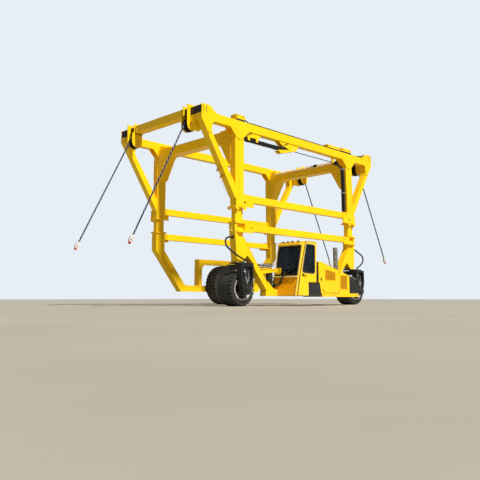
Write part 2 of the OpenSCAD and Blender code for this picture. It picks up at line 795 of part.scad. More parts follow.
module end_panel() {
  color(dark) at_cab() slab_y(side_y + 15, near_y) polygon([[1545, 380], [2100, 380], [2110, 410],
    [1950, 850], [1555, 950]]);
}

module bumper_beam() {
  color(yellow) at_cab() span([30, side_y - 20, 270], [2045, near_y, 380]);
}

module exhaust_stack() {
  color(silver) at_cab() translate([1410, near_y - 300, 1080]) cylinder(r = 75, h = 820);
}

module valve_shelf() {
  color(yellow) near_side() difference() {
    translate([-half, 0, 1080]) linear_extrude(height = 30) difference() {
      polygon([[900, 20], [1040, 0], [1790, -25], [1830, 20], [1800, 240], [900, 240]]);
      translate([1400, -410]) circle(r = 420);
    }
    mirror([1, 0, 0]) slab_y(-1, leg_d + 1) foot_outline();
  }
}

module hydraulic_tank() {
  color(dark) translate([-half + 1560, near_y + 125, 660]) cylinder(r = 105, h = 420);
}

module left_hose() {
  color(black) hose([for (p = left_route) [-half - p[0], near_y + p[1], p[2]]], 16);
}

module right_hose() {
  color(black) hose([for (p = right_route) [half + p[0], near_y + p[1], p[2]]], 16);
}

near_top_beam();
far_top_beam();
near_upper_legs();
far_upper_legs();
near_struts();
far_struts();
cross_beams();
chain_beams();
slide_bars();
upper_tie_beams();
sheave_housings();
sheaves();
lifting_chains();
hoist_cylinder();
top_valve_boxes();
inner_legs();
near_lower_frame();
far_lower_frame();
lower_tie_beams();
steering_bearings();
left_fork();
left_rim();
left_tyre();
right_fork();
right_rim();
right_tyre();
far_axle();
far_rim();
far_tyre();
cab_shell();
cab_glass();
cab_door();
door_glass();
roof_lamps();
wiper();
engine_hood();
cab_step();
end_panel();
bumper_beam();
exhaust_stack();
valve_shelf();
hydraulic_tank();
left_hose();
right_hose();
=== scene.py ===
# Looks of the mobile container gantry: paint, rubber, steel and glass, and the fine pieces on the frame.
# Metres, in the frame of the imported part: X along the side frames, -Y the cab side, Z up.
import json
import math
import random
from itertools import product

import bmesh
import bpy
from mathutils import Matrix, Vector


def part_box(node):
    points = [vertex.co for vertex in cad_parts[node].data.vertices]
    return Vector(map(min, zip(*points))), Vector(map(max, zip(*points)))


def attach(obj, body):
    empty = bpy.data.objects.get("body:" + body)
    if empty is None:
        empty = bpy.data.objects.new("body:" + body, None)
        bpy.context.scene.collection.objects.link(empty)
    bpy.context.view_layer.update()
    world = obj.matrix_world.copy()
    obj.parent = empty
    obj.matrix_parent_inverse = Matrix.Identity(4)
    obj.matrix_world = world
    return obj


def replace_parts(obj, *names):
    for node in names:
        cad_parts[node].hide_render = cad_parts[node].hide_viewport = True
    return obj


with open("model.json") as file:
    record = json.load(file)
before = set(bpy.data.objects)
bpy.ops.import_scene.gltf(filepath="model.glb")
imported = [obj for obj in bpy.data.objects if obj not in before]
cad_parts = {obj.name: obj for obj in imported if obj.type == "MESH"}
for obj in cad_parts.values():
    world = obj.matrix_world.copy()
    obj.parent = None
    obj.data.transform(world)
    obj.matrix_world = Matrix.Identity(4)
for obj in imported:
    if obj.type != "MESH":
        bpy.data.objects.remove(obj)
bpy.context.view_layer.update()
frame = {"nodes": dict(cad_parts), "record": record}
nodes = frame["nodes"]

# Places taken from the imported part

BEAM_LO, BEAM_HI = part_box("near_top_beam")
NEAR_Y = BEAM_LO.y
FAR_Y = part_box("far_top_beam")[1].y
INNER_LEG_GAP = 0.025
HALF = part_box("inner_legs")[1].x + INNER_LEG_GAP
TIP_X, TIP_Z = BEAM_HI.x, BEAM_HI.z
LEG_W, LEG_D = 0.35, 0.24
PLATE = 0.012
TOP_Z, BEAM_Z = 5.45, 5.20
UPPER_Z, LOWER_Z, FOOT_Z = 2.83, 2.415, 1.24
SIDE_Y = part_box("engine_hood")[0].y
DOOR_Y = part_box("cab_door")[0].y
CAB_IN_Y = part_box("cab_shell")[1].y
SHEAVE_X, SHEAVE_Z, SHEAVE_DEPTH = TIP_X - 0.095, BEAM_Z - 0.07, 0.64
CHAIN_R = 0.1623
CHAIN_LEAN = math.radians(26.4)
LUG_Z = 1.70
CHAIN_STRAIGHT = (SHEAVE_Z + CHAIN_R * math.sin(CHAIN_LEAN) - LUG_Z) / math.cos(CHAIN_LEAN)
KING_X = {side: sum(v.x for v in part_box(side + "_tyre")) / 2 for side in ("left", "right")}
KING_IN = 0.13
KING_Y = NEAR_Y + KING_IN
FAR_TYRE_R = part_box("far_tyre")[1].z / 2
CAB_FOOT_X, CAB_FOOT_Z, CAB_RAKE = -1.25, 0.30, 0.247

# Camera at the photograph's angle

CAM_PLACE = (-14.576, NEAR_Y - 11.6, 0.2535)
CAM_YAW, CAM_PITCH = 45.4, 9.42
FOCAL_PX, FRAME_PX = 575.0, 480.0
CENTRE_PX = (240.5, 202.0)
SENSOR_MM = 36.0

# Light

SUN_FROM = (-0.02, -0.66, 0.75)
SUN_STRENGTH, SUN_COLOUR, SUN_WIDTH = 4.8, (1.0, 0.965, 0.90), 5
FILL_STRENGTH, FILL_COLOUR = 0.22, (1.0, 0.84, 0.62)
REFLECTED = (0.21, 0.27, 0.34)
BACKDROP = (0.80, 0.86, 0.92)
FLOOR_REACH = 60.0

X, Y, Z = Vector((1, 0, 0)), Vector((0, 1, 0)), Vector((0, 0, 1))
# The radius of a turned piece at its axis, a hair over zero so that its faces keep their area
AXIS_R = 0.0005


def link_object(name, data):
    obj = bpy.data.objects.new(name, data)
    bpy.context.scene.collection.objects.link(obj)
    return obj


def make_camera():
    data = bpy.data.cameras.new("camera")
    data.sensor_width = SENSOR_MM
    data.lens = FOCAL_PX / FRAME_PX * SENSOR_MM
    data.shift_x = (FRAME_PX / 2 - CENTRE_PX[0]) / FRAME_PX
    data.shift_y = (CENTRE_PX[1] - FRAME_PX / 2) / FRAME_PX
    cam = link_object("camera", data)
    cam.location = CAM_PLACE
    cam.rotation_euler = (math.radians(90 + CAM_PITCH), 0, math.radians(-CAM_YAW))
    bpy.context.scene.camera = cam


# Materials


class Shader:
    """Builds one node material, with short calls for the nodes used here."""

    def __init__(self, name):
        self.mat = bpy.data.materials.new(name)
        self.mat.use_nodes = True
        self.tree = self.mat.node_tree
        self.tree.nodes.clear()
        out = self.node("ShaderNodeOutputMaterial")
        self.bsdf = self.node("ShaderNodeBsdfPrincipled")
        self.feed(out.inputs["Surface"], self.bsdf.outputs[0])

    def node(self, kind, **props):
        n = self.tree.nodes.new(kind)
        for key, value in props.items():
            setattr(n, key, value)
        return n

    def feed(self, socket, value):
        """Gives an input socket a number, a colour or vector as a tuple, or a link."""
        if isinstance(value, bpy.types.NodeSocket):
            self.tree.links.new(value, socket)
        elif isinstance(value, tuple) and socket.type == "RGBA":
            socket.default_value = (*value, 1.0)
        else:
            socket.default_value = value

    def noise(self, scale, detail, rough=0.55, stretch=(1, 1, 1)):
        mapping = self.node("ShaderNodeMapping")
        self.feed(mapping.inputs["Scale"], stretch)
        self.feed(mapping.inputs["Vector"], self.node("ShaderNodeTexCoord").outputs["Object"])
        n = self.node("ShaderNodeTexNoise")
        for key, value in (("Scale", scale), ("Detail", detail), ("Roughness", rough), ("Vector", mapping.outputs[0])):
            self.feed(n.inputs[key], value)
        return n.outputs["Fac"]

    def ramp(self, fac, low, high, v0=0.0, v1=1.0):
        """Maps fac from low..high to v0..v1, clamped."""
        n = self.node("ShaderNodeMapRange", clamp=True)
        for key, value in (("From Min", low), ("From Max", high), ("To Min", v0), ("To Max", v1), ("Value", fac)):
            self.feed(n.inputs[key], value)
        return n.outputs["Result"]

    def cloud(self, scale, detail, rough, low, high, v0=0.0, v1=1.0, stretch=(1, 1, 1)):
        """Noise, with its part from low to high mapped to v0..v1."""
        return self.ramp(self.noise(scale, detail, rough, stretch), low, high, v0, v1)

    def times(self, a, b):
        n = self.node("ShaderNodeMath", operation="MULTIPLY")
        self.feed(n.inputs[0], a)
        self.feed(n.inputs[1], b)
        return n.outputs[0]

    def mix(self, fac, a, b):
        """Mixes two colours, given as tuples or sockets."""
        n = self.node("ShaderNodeMix", data_type="RGBA")
        for socket, value in ((n.inputs["Factor"], fac), (n.inputs[6], a), (n.inputs[7], b)):
            self.feed(socket, value)
        return n.outputs[2]

    def height(self):
        """The height above the ground, in metres, in the object's own coordinates."""
        split = self.node("ShaderNodeSeparateXYZ")
        self.feed(split.inputs[0], self.node("ShaderNodeTexCoord").outputs["Object"])
        return split.outputs["Z"]

    def bump(self, height, strength, distance):
        n = self.node("ShaderNodeBump")
        for key, value in (("Strength", strength), ("Distance", distance), ("Height", height)):
            self.feed(n.inputs[key], value)
        self.feed(self.bsdf.inputs["Normal"], n.outputs["Normal"])

    def finish(self, **values):
        """Sets inputs of the shader and returns the material."""
        for key, value in values.items():
            self.feed(self.bsdf.inputs[key.replace("_", " ")], value)
        return self.mat


def paint(name, colour, deep, dust_colour, dust=0.35, rough=0.38):
    """Machine paint: a colour that drifts a little, dust low on the machine, faint rain streaks and wear."""
    s = Shader(name)
    base = s.mix(s.cloud(0.9, 3.0, 0.55, 0.35, 0.70), colour, deep)
    streaks = s.cloud(7.0, 3.0, 0.55, 0.56, 0.72, 0.0, 0.22, (1, 1, 0.05))
    base = s.mix(streaks, base, tuple(c * 0.62 for c in deep))
    low = s.ramp(s.height(), 0.15, 1.3, 1.0, 0.0)
    patches = s.cloud(5.0, 6.0, 0.65, 0.42, 0.72)
    base = s.mix(s.times(s.times(low, patches), dust), base, dust_colour)
    specks = s.cloud(34.0, 2.0, 0.55, 0.70, 0.74, 0.0, 0.5)
    base = s.mix(s.times(specks, low), base, (0.10, 0.08, 0.06))
    s.bump(s.noise(150.0, 2.0), 0.10, 0.002)
    gloss = s.cloud(42.0, 3.0, 0.55, 0.3, 0.7, rough - 0.07, rough + 0.10)
    return s.finish(Base_Color=base, Roughness=gloss, Specular_IOR_Level=0.3)


def coat(name, tones, drift, grain, gloss, film=None, **values):
    """Two tones that drift into each other, with a film, a grain and a roughness; the tuples go to the noises."""
    s = Shader(name)
    base = s.mix(s.cloud(*drift), *tones)
    if film:
        base = s.mix(s.cloud(*film[0]), base, film[1])
    if grain:
        s.bump(s.noise(*grain[:2]), *grain[2:])
    return s.finish(Base_Color=base, Roughness=s.cloud(*gloss), **values)


def steel(name, colour, deep, rough=0.32, metallic=0.9):
    """Bare or plated steel with handling marks."""
    return coat(name, (colour, deep), (11.0, 5.0, 0.62, 0.38, 0.68), (180.0, 2.0, 0.12, 0.001),
                (60.0, 3.0, 0.55, 0.3, 0.7, rough - 0.08, rough + 0.14), Metallic=metallic)


YELLOW = paint("yellow_paint", (1.00, 0.66, 0.003), (0.96, 0.60, 0.002), (0.45, 0.29, 0.10))
# Panel paint: a deeper orange, partly the panel's own paint and partly painted shade on the raked cab front that faces
# away from the sun.
ORANGE = paint("panel_paint", (1.00, 0.48, 0.002), (0.98, 0.43, 0.002), (0.60, 0.30, 0.06), dust=0.2, rough=0.42)
# Louvre paint: deeper orange than the hood, painted shade for the inside of the recessed louvre panels.
LOUVRE = paint("louvre_paint", (0.80, 0.45, 0.008), (0.68, 0.35, 0.006), (0.36, 0.24, 0.10), rough=0.5)
# Pale paint: a paler yellow that paints the highlight on sunlit lids and edges.
PALE = paint("bleached_paint", (0.98, 0.80, 0.13), (0.92, 0.72, 0.09), (0.45, 0.35, 0.16), rough=0.42)
# Trim paint: a paler, duller yellow that paints the highlight along the sunlit edges of the cab, its door and its roof.
CREAM = paint("aged_trim", (0.74, 0.60, 0.20), (0.62, 0.48, 0.13), (0.34, 0.28, 0.18), rough=0.45)
# Pipe paint: a pale tan, partly the pipes' own colour and partly painted sunlight on sides that face away from the sun.
PIPE = paint("pale_pipe", (0.98, 0.74, 0.40), (0.80, 0.58, 0.28), (0.34, 0.28, 0.18), rough=0.45)
LIP = steel("rim_lip", (0.66, 0.65, 0.62), (0.42, 0.41, 0.39), rough=0.50, metallic=0.30)
DARK = paint("dark_paint", (0.018, 0.020, 0.021), (0.026, 0.028, 0.028), (0.09, 0.085, 0.070), dust=0.40, rough=0.45)
BLACK = paint("black_steel", (0.010, 0.010, 0.011), (0.020, 0.019, 0.018), (0.06, 0.05, 0.04), rough=0.35)
RED = paint("red_paint", (0.60, 0.03, 0.02), (0.45, 0.02, 0.02), (0.20, 0.10, 0.08))
# Rim paint: a mid-dark grey, darkened partly to paint the shade inside the wheel barrels.
RIM = steel("rim_paint", (0.22, 0.22, 0.23), (0.10, 0.10, 0.10), rough=0.45, metallic=0.45)
CHAIN = steel("chain_steel", (0.026, 0.038, 0.085), (0.010, 0.014, 0.030), rough=0.36, metallic=0.45)
BRIGHT = steel("bright_steel", (0.78, 0.79, 0.80), (0.50, 0.50, 0.50), rough=0.24)
WHITE = steel("plated_fittings", (0.88, 0.87, 0.84), (0.60, 0.59, 0.57), rough=0.40, metallic=0.25)
STACK = steel("stack_steel", (0.46, 0.46, 0.47), (0.24, 0.24, 0.24), rough=0.40, metallic=0.75)
AMBER = paint("amber_lens", (0.78, 0.36, 0.015), (0.55, 0.22, 0.010), (0.30, 0.16, 0.06), rough=0.16)
BRASS = steel("brass", (0.75, 0.48, 0.16), (0.45, 0.25, 0.07), rough=0.30)
TYRE = coat("tyre", ((0.014, 0.014, 0.014), (0.034, 0.033, 0.030)), (3.2, 5.0, 0.6, 0.30, 0.72),
            (120.0, 4.0, 0.35, 0.003), (20.0, 3.0, 0.55, 0.3, 0.7, 0.68, 0.92),
            ((45.0, 4.0, 0.55, 0.48, 0.75, 0.0, 0.35), (0.060, 0.058, 0.052)))
RUBBER = coat("rubber", ((0.010, 0.010, 0.011), (0.028, 0.028, 0.028)), (14.0, 4.0, 0.55, 0.35, 0.7),
              (200.0, 2.0, 0.15, 0.001), (30.0, 3.0, 0.55, 0.3, 0.7, 0.42, 0.62))
GLASS = coat("tinted_glass", ((0.003, 0.006, 0.008), (0.010, 0.017, 0.021)), (4.0, 5.0, 0.6, 0.40, 0.75), None,
             (9.0, 4.0, 0.55, 0.3, 0.7, 0.02, 0.08), Alpha=0.74)

# The finish of each slot of the record, and the slot that each finish of the scene's pieces belongs to
SLOT_MATERIALS = {"yellow_paint": YELLOW, "dark_paint": DARK, "black_steel": BLACK, "rim_paint": RIM,
                  "chain_steel": CHAIN, "tyre": TYRE, "rubber": RUBBER, "tinted_glass": GLASS}
SLOT_OF = {mat: slot for slot, mats in (("yellow_paint", (YELLOW, ORANGE, LOUVRE, PALE, CREAM, PIPE, AMBER)),
                                        ("black_steel", (DARK, BLACK)), ("rim_paint", (LIP, BRIGHT, WHITE)),
                                        ("chain_steel", (CHAIN, RED, STACK, BRASS)), ("tyre", (TYRE,)),
                                        ("rubber", (RUBBER,))) for mat in mats}


def dress_nodes():
    """Gives each carried-over node the finish of its slot in the record."""
    for part in frame["record"]["subparts"]:
        materials = nodes[part["node"]].data.materials
        materials.clear()
        materials.append(SLOT_MATERIALS[part["material_slot"]])


# Outlines and paths


def polar(r, degrees):
    """The point at radius r, turned by degrees from the first axis."""
    return r * math.cos(math.radians(degrees)), r * math.sin(math.radians(degrees))


def around(r, count, start=0.0):
    """Points evenly spaced round a circle."""
    return [polar(r, start + 360 * k / count) for k in range(count)]


def arc(cx, cy, r, a0, a1, steps):
    """Points on an arc in a plane, angles in degrees."""
    return [(cx + u, cy + v) for u, v in (polar(r, a0 + (a1 - a0) * k / steps) for k in range(steps + 1))]


def basis(normal):
    """Two unit vectors at right angles to the normal and to each other."""
    n = Vector(normal).normalized()
    u = n.cross(Z if abs(n.z) < 0.9 else X).normalized()
    return u, n.cross(u).normalized()


def smooth_path(points, steps):
    """A smooth curve through the points."""
    last = len(points) - 1
    path = []
    for i in range(last):
        a, b, c, d = points[max(i - 1, 0)], points[i], points[i + 1], points[min(i + 2, last)]
        for u in (k / steps for k in range(steps)):
            path.append(0.5 * (2 * b + (c - a) * u + (2 * a - 5 * b + 4 * c - d) * u * u
                               + (3 * b - a - 3 * c + d) * u ** 3))
    return path + [points[-1]]


def rounded_outline(points, r, steps=5):
    """The outline of points, listed anticlockwise, grown by r with round corners."""
    out = []
    for i, point in enumerate(points):
        p = Vector(point)
        before = (p - Vector(points[i - 1])).normalized()
        after = (Vector(points[(i + 1) % len(points)]) - p).normalized()
        a0, a1 = math.atan2(-before.x, before.y), math.atan2(-after.x, after.y)
        while a1 < a0:
            a1 += 2 * math.pi
        out += arc(p.x, p.y, r, math.degrees(a0), math.degrees(a1), steps)
    return out


def solid(*steps):
    """The profile of a turned solid: its steps of (radius, height), closed at the axis."""
    return [(AXIS_R, steps[0][1]), *steps, (AXIS_R, steps[-1][1])]


def disc(r, low, high):
    return solid((r, low), (r, high))


def band(inner, outer, half, z=0.0, soft=0.0):
    """The profile of a band round something, half its height to each side of z."""
    return [(inner, z - half), (outer, z - half + soft), (outer, z + half - soft), (inner, z + half)]


def union(r, height, neck_r, neck_end):
    """The profile of a pipe union: its nut, and the neck that stands out of it."""
    return solid((r, 0.0), (r, height), (neck_r, height + 0.004), (neck_r, neck_end))


def rect(u0, v0, u1, v1):
    return [(u0, v0), (u1, v0), (u1, v1), (u0, v1)]


# Mesh helpers


class Part:
    """The faces of one piece, in metres."""

    def __init__(self):
        self.verts = []
        self.faces = []

    def add(self, verts, faces):
        n = len(self.verts)
        self.verts += [Vector(v) for v in verts]
        self.faces += [tuple(i + n for i in f) for f in faces]

    def add_rings(self, rings, across, around_too):
        """Skins rings of equally many points: across closes each ring, around_too joins the last to the first."""
        m, n = len(rings[0]), len(rings)
        faces = []
        for k in range(n if around_too else n - 1):
            j = (k + 1) % n
            faces += [[k * m + i, k * m + (i + 1) % m, j * m + (i + 1) % m, j * m + i]
                      for i in range(m if across else m - 1)]
        self.add([p for ring in rings for p in ring], faces)

    def block(self, a, b, chamfer=0.004):
        """A box with chamfered edges between two opposite corners."""
        lo, hi = Vector(list(map(min, a, b))), Vector(list(map(max, a, b)))
        c = min(chamfer, *((hi - lo) * 0.45))
        signs = list(product((0, 1), repeat=3))
        verts, index = [], {}
        for axis in range(3):
            for s in signs:
                inset = [0 if k == axis else c for k in range(3)]
                index[axis, s] = len(verts)
                verts.append([hi[k] - inset[k] if s[k] else lo[k] + inset[k] for k in range(3)])
        faces = []
        for axis in range(3):
            u, v = [k for k in range(3) if k != axis]

            def corner(which, side, su, sv):
                s = [0, 0, 0]
                s[axis], s[u], s[v] = side, su, sv
                return index[which, tuple(s)]

            for side in (0, 1):
                faces.append([corner(axis, side, su, sv) for su, sv in ((0, 0), (1, 0), (1, 1), (0, 1))])
            for su, sv in product((0, 1), repeat=2):
                faces.append([corner(which, side, su, sv) for which, side in ((u, 0), (u, 1), (v, 1), (v, 0))])
        self.add(verts, faces + [[index[axis, s] for axis in range(3)] for s in signs])

    def prism(self, outline, place, depth, bevel=0.0):
        """An outline extruded by depth. place(u, v, w) puts a point; the far face is drawn in by bevel."""
        n = len(outline)
        rings = [[place(u, v, w) for u, v in outline] for w in (0.0, depth - bevel)]
        if bevel > 0:
            cu, cv = (sum(p[i] for p in outline) / n for i in (0, 1))
            inner = []
            for u, v in outline:
                d = math.hypot(u - cu, v - cv) or 1.0
                inner.append(place(u - (u - cu) / d * bevel, v - (v - cv) / d * bevel, depth))
            rings.append(inner)
        start = len(self.verts)
        self.add_rings(rings, True, False)
        end = len(self.verts)
        self.faces += [tuple(range(start, start + n)), tuple(range(end - n, end))]

    def tube(self, path, r, sides=8, closed=False):
        """A round bar of radius r along the path; r may be a list, one radius for each point."""
        pts = [Vector(p) for p in path]
        n = len(pts)
        radii = r if isinstance(r, list) else [r] * n
        u = None
        rings = []
        for i, p in enumerate(pts):
            t = pts[(i + 1) % n] - pts[i - 1] if closed else pts[min(i + 1, n - 1)] - pts[max(i - 1, 0)]
            t.normalize()
            u = u or basis(t)[0]
            u = (u - t * u.dot(t)).normalized()
            v = t.cross(u)
            rings.append([p + u * cu + v * cv for cu, cv in around(radii[i], sides)])
        start = len(self.verts)
        self.add_rings(rings, True, closed)
        end = len(self.verts)
        if not closed:
            self.faces += [tuple(range(start, start + sides)), tuple(range(end - sides, end))]

    def lathe(self, profile, centre, axis, segments=32, closed=False):
        """A profile of (radius, height) points turned round the axis through centre."""
        c, n = Vector(centre), Vector(axis).normalized()
        u, v = basis(n)
        spokes = [u * cu + v * cv for cu, cv in around(1.0, segments)]
        self.add_rings([[c + spoke * r + n * h for r, h in profile] for spoke in spokes], closed, True)

    def bolt(self, place, normal, r=0.012, h=0.010):
        """A hexagon bolt head on a washer, its seat at place."""
        self.lathe([(AXIS_R, -0.001), (r * 1.5, -0.001), (r * 1.5, h * 0.22), (r, h * 0.22)], place, normal, 12)
        self.lathe([(r * 1.15, h * 0.15), (r * 1.15, h * 0.85), (r * 0.95, h), (AXIS_R, h)], place, normal, 6)

    def bead(self, path, r=0.006, step=0.02, seed=1):
        """A weld bead along the path, rippled."""
        rng = random.Random(seed)
        pts = []
        for a, b in zip(path, path[1:]):
            a, b = Vector(a), Vector(b)
            count = max(2, int((b - a).length / step))
            pts += [a + (b - a) * k / count for k in range(count)]
        pts.append(Vector(path[-1]))
        self.tube(pts, [r * rng.uniform(0.75, 1.15) for _ in pts], 5)


def parts(count):
    return [Part() for _ in range(count)]


def show(name, body, part, material, slot=None, smooth=32):
    """Makes the object of a part and rides it on its body."""
    mesh = bpy.data.meshes.new(name)
    mesh.from_pydata(part.verts, [], part.faces)
    bm = bmesh.new()
    bm.from_mesh(mesh)
    bmesh.ops.recalc_face_normals(bm, faces=bm.faces)
    bm.to_mesh(mesh)
    bm.free()
    mesh.polygons.foreach_set("use_smooth", [True] * len(mesh.polygons))
    mesh.set_sharp_from_angle(angle=math.radians(smooth))
    mesh.materials.append(material)
    obj = link_object(name, mesh)
    slot = slot or SLOT_OF[material]
    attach(obj, body)
    return obj


def show_all(body, **pieces):
    """Shows pieces of one body, each given as name=(part, material) or name=(part, material, slot)."""
    return [show(name, body, *piece) for name, piece in pieces.items()]


# Places on the machine


def corners():
    """The four corners of the side frames, each as (at, out, end).

    at(x, depth, z) is a point mirrored to that corner, with x from the middle outwards and depth from the frame's
    outer face towards the load. out points away from the load, and end points along the frame.
    """
    for sign in (-1, 1):
        for y, inward in ((NEAR_Y, 1), (FAR_Y, -1)):
            def at(x, depth, z, sign=sign, y=y, inward=inward):
                return Vector((sign * x, y + inward * depth, z))
            yield at, Y * -inward, X * sign


def near(x, y, z):
    """A place on the near frame: x from its left leg's outer face, y from its own outer face."""
    return Vector((x - HALF, NEAR_Y + y, z))


def top(x, y, z):
    """A place over the near top beam."""
    return near(x, y, TOP_Z + z)


def cab_front(z):
    """The x of the raked cab front at height z."""
    return CAB_FOOT_X + CAB_RAKE * (z - CAB_FOOT_Z)


def cab_place(y, z, out=0.0):
    """A place on the raked cab front, lifted out from it."""
    return Vector((cab_front(z) - out, y, z))


def on_side(line, lift=0.0):
    """A line of (x, z) points on the cab side, moved in by lift."""
    return [(x, SIDE_Y + lift, z) for x, z in line]


def box_axis(node):
    """The vertical axis of an upright round node, its radius and its two heights."""
    lo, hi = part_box(node)
    return Vector(((lo.x + hi.x) / 2, (lo.y + hi.y) / 2, 0.0)), (hi.x - lo.x) / 2, lo.z, hi.z


# Pieces of the lifting frame


def chain_curve(sign, y, s):
    """A point of a lifting chain and its direction there, s metres up from the lug hole."""
    a = CHAIN_LEAN + max(s - CHAIN_STRAIGHT, 0.0) / CHAIN_R
    back = max(CHAIN_STRAIGHT - s, 0.0)
    x = SHEAVE_X + CHAIN_R * math.cos(a) + back * math.sin(a)
    z = SHEAVE_Z + CHAIN_R * math.sin(a) - back * math.cos(a)
    return Vector((sign * x, y, z)), Vector((-sign * math.sin(a), 0, math.cos(a)))


def add_link(part, centre, along, across, half_length=0.029, turn_r=0.0185, wire_r=0.0105):
    """One oval link lying in the plane of along and across."""
    path = []
    for end, start in ((1, -90), (-1, 90)):
        path += [centre + along * u + across * v for u, v in arc(end * half_length, 0, turn_r, start, start + 180, 4)]
    part.tube(path, wire_r, 6, closed=True)


def lug_plate(part, foot, along):
    """The forged plate at the foot of a chain, with its hole, and the shackle from it to the first link."""
    hole_r, half_thick, shackle_z = 0.026, 0.030, 0.100
    across = Vector((along.z, 0, -along.x))
    shoulder = [(0.060, 0.075), (0.046, 0.105), (0.030, 0.130)]
    outline = arc(0, 0, 0.060, 180, 360, 20) + shoulder + [(-u, v) for u, v in reversed(shoulder)]
    rings = []
    for w, inner in ((-1, False), (1, False), (1, True), (-1, True)):
        ring = []
        for u, v in outline:
            k = hole_r / math.hypot(u, v) if inner else 1.0
            ring.append(foot + across * (u * k) + along * (v * k) + Y * (w * half_thick))
        rings.append(ring)
    part.add_rings(rings, True, True)
    for w in (-0.036, 0.036):
        part.lathe(disc(0.020, 0, 0.010), foot + along * shackle_z + Y * (w - 0.005), Y, 16)
    part.tube([foot + along * (shackle_z + 0.062 * v) + Y * (0.036 * u) for u, v in arc(0, 0, 1, 0, 180, 12)], 0.009, 8)


def lifting_chains():
    """The four chains over their sheaves, with the lug plate and its red grip at the lower end."""
    pitch, first, wrap = 0.074, 0.165, math.radians(118)
    count = int((CHAIN_STRAIGHT + wrap * CHAIN_R - first) / pitch)
    grip = [(AXIS_R, -0.062), (0.022, -0.060), (0.036, -0.045), (0.040, -0.024), (0.034, -0.004), (0.018, 0.010),
            (AXIS_R, 0.012)]
    chains, lugs, grips = parts(3)
    for at, _, end in corners():
        y = at(0, SHEAVE_DEPTH, 0).y
        for k in range(count):
            centre, along = chain_curve(end.x, y, first + k * pitch)
            add_link(chains, centre, along, Y if k % 2 else Vector((along.z, 0, -along.x)))
        foot, along = chain_curve(end.x, y, 0.0)
        lug_plate(lugs, foot, along)
        grips.lathe(grip, foot - along * 0.052, along, 20)
    links, plates, _ = show_all("lift_frame", chain_links=(chains, CHAIN), chain_lugs=(lugs, WHITE, "rim_paint"),
                                chain_lug_grips=(grips, RED))
    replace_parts(links, "lifting_chains")
    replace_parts(plates, "lifting_chains")


def tip_bolts():
    """Bolts of the tip plates, and plugged holes in the plates over the leg and the beam."""
    bolts, plugs = parts(2)
    for at, out, _ in corners():
        for dx, dz in product((0.055, 0.175), (0.075, 0.135, 0.205)):
            bolts.bolt(at(TIP_X - dx, 0, TIP_Z - dz), out, 0.013, 0.010)
        for x, z in ((HALF + 0.03, BEAM_Z - 0.02), (HALF - 0.30, BEAM_Z - 0.03)):
            plugs.lathe(disc(0.012, -0.001, 0.003), at(x, 0, z), out, 12)
    show_all("lift_frame", tip_plate_bolts=(bolts, DARK), plate_plugs=(plugs, DARK))


def frame_welds():
    """Weld beads where plates, gussets and struts meet the beams and legs."""
    welds, seams = parts(2)
    leg_eye, tip_eye = (HALF - LEG_W / 2, BEAM_Z - 0.17), (TIP_X - 0.32, BEAM_Z - 0.30)
    lines = ([(HALF - 0.60, BEAM_Z + 0.022), (HALF + 0.22, BEAM_Z + 0.022)],
             [(TIP_X - 0.657, BEAM_Z), (TIP_X - 0.657, TOP_Z)],
             arc(*leg_eye, 0.162, 205, 335, 16),
             [(HALF, BEAM_Z - 2.115), (HALF, BEAM_Z - 1.71)],
             arc(*tip_eye, 0.077, 200, 330, 10))
    seed = 3
    for at, _, _ in corners():
        for line in lines:
            seed += 1
            welds.bead([at(x, PLATE, z) for x, z in line], 0.005, 0.025, seed)
        for eye, r, a0, a1 in ((leg_eye, 0.166, 208, 332), (tip_eye, 0.081, 205, 325)):
            seams.tube([at(x, 0.008, z) for x, z in arc(*eye, r, a0, a1, 14)], 0.0045, 6)
    show_all("lift_frame", frame_welds=(welds, YELLOW), plate_seams=(seams, DARK))


def sheave_fittings():
    """Pin caps, keeper plates and bolts on the four sheave blocks, and wear strips on the slide bars."""
    caps, bolts, strips = parts(3)
    pin_cap = solid((0.030, 0.012), (0.040, 0.004), (0.052, 0.004), (0.052, -0.016))
    tab_ring = [(0.040, -0.008), (0.056, -0.008), (0.056, -0.001), (0.040, 0.003)]
    for at, out, end in corners():
        for depth, normal in ((0.495, out), (0.795, -out)):
            caps.lathe(pin_cap, at(SHEAVE_X, depth, SHEAVE_Z), normal)
        for u, v in around(0.105, 6, 30):
            bolts.bolt(at(SHEAVE_X + u, 0.50, SHEAVE_Z + v), out, 0.011, 0.009)
        caps.lathe(tab_ring, at(TIP_X - 0.005, 0.44, BEAM_Z - 0.06), end)
        bolts.bolt(at(TIP_X + 0.003, 0.44, BEAM_Z - 0.06), end, 0.016, 0.010)
        for z in (BEAM_Z + 0.182, BEAM_Z + 0.398):
            strips.block(at(TIP_X - 0.24, 0.245, z - 0.010), at(TIP_X - 0.02, 0.49, z + 0.010), 0.003)
    show_all("lift_frame", sheave_pin_caps=(caps, YELLOW), sheave_block_bolts=(bolts, DARK),
             slide_bar_edges=(strips, DARK))


def chain_beam_clamps():
    """Yellow straps that hold the outboard beam, next to each sheave block."""
    straps, bolts = parts(2)
    face_x = TIP_X + 0.012
    for at, _, end in corners():
        straps.block(at(TIP_X - 0.272, 0.835, BEAM_Z + 0.190), at(face_x, 0.875, BEAM_Z + 0.435), 0.006)
        for dz in (0.235, 0.385):
            bolts.bolt(at(face_x, 0.855, BEAM_Z + dz), end, 0.011, 0.010)
    show_all("lift_frame", chain_beam_straps=(straps, YELLOW), chain_beam_bolts=(bolts, BLACK))


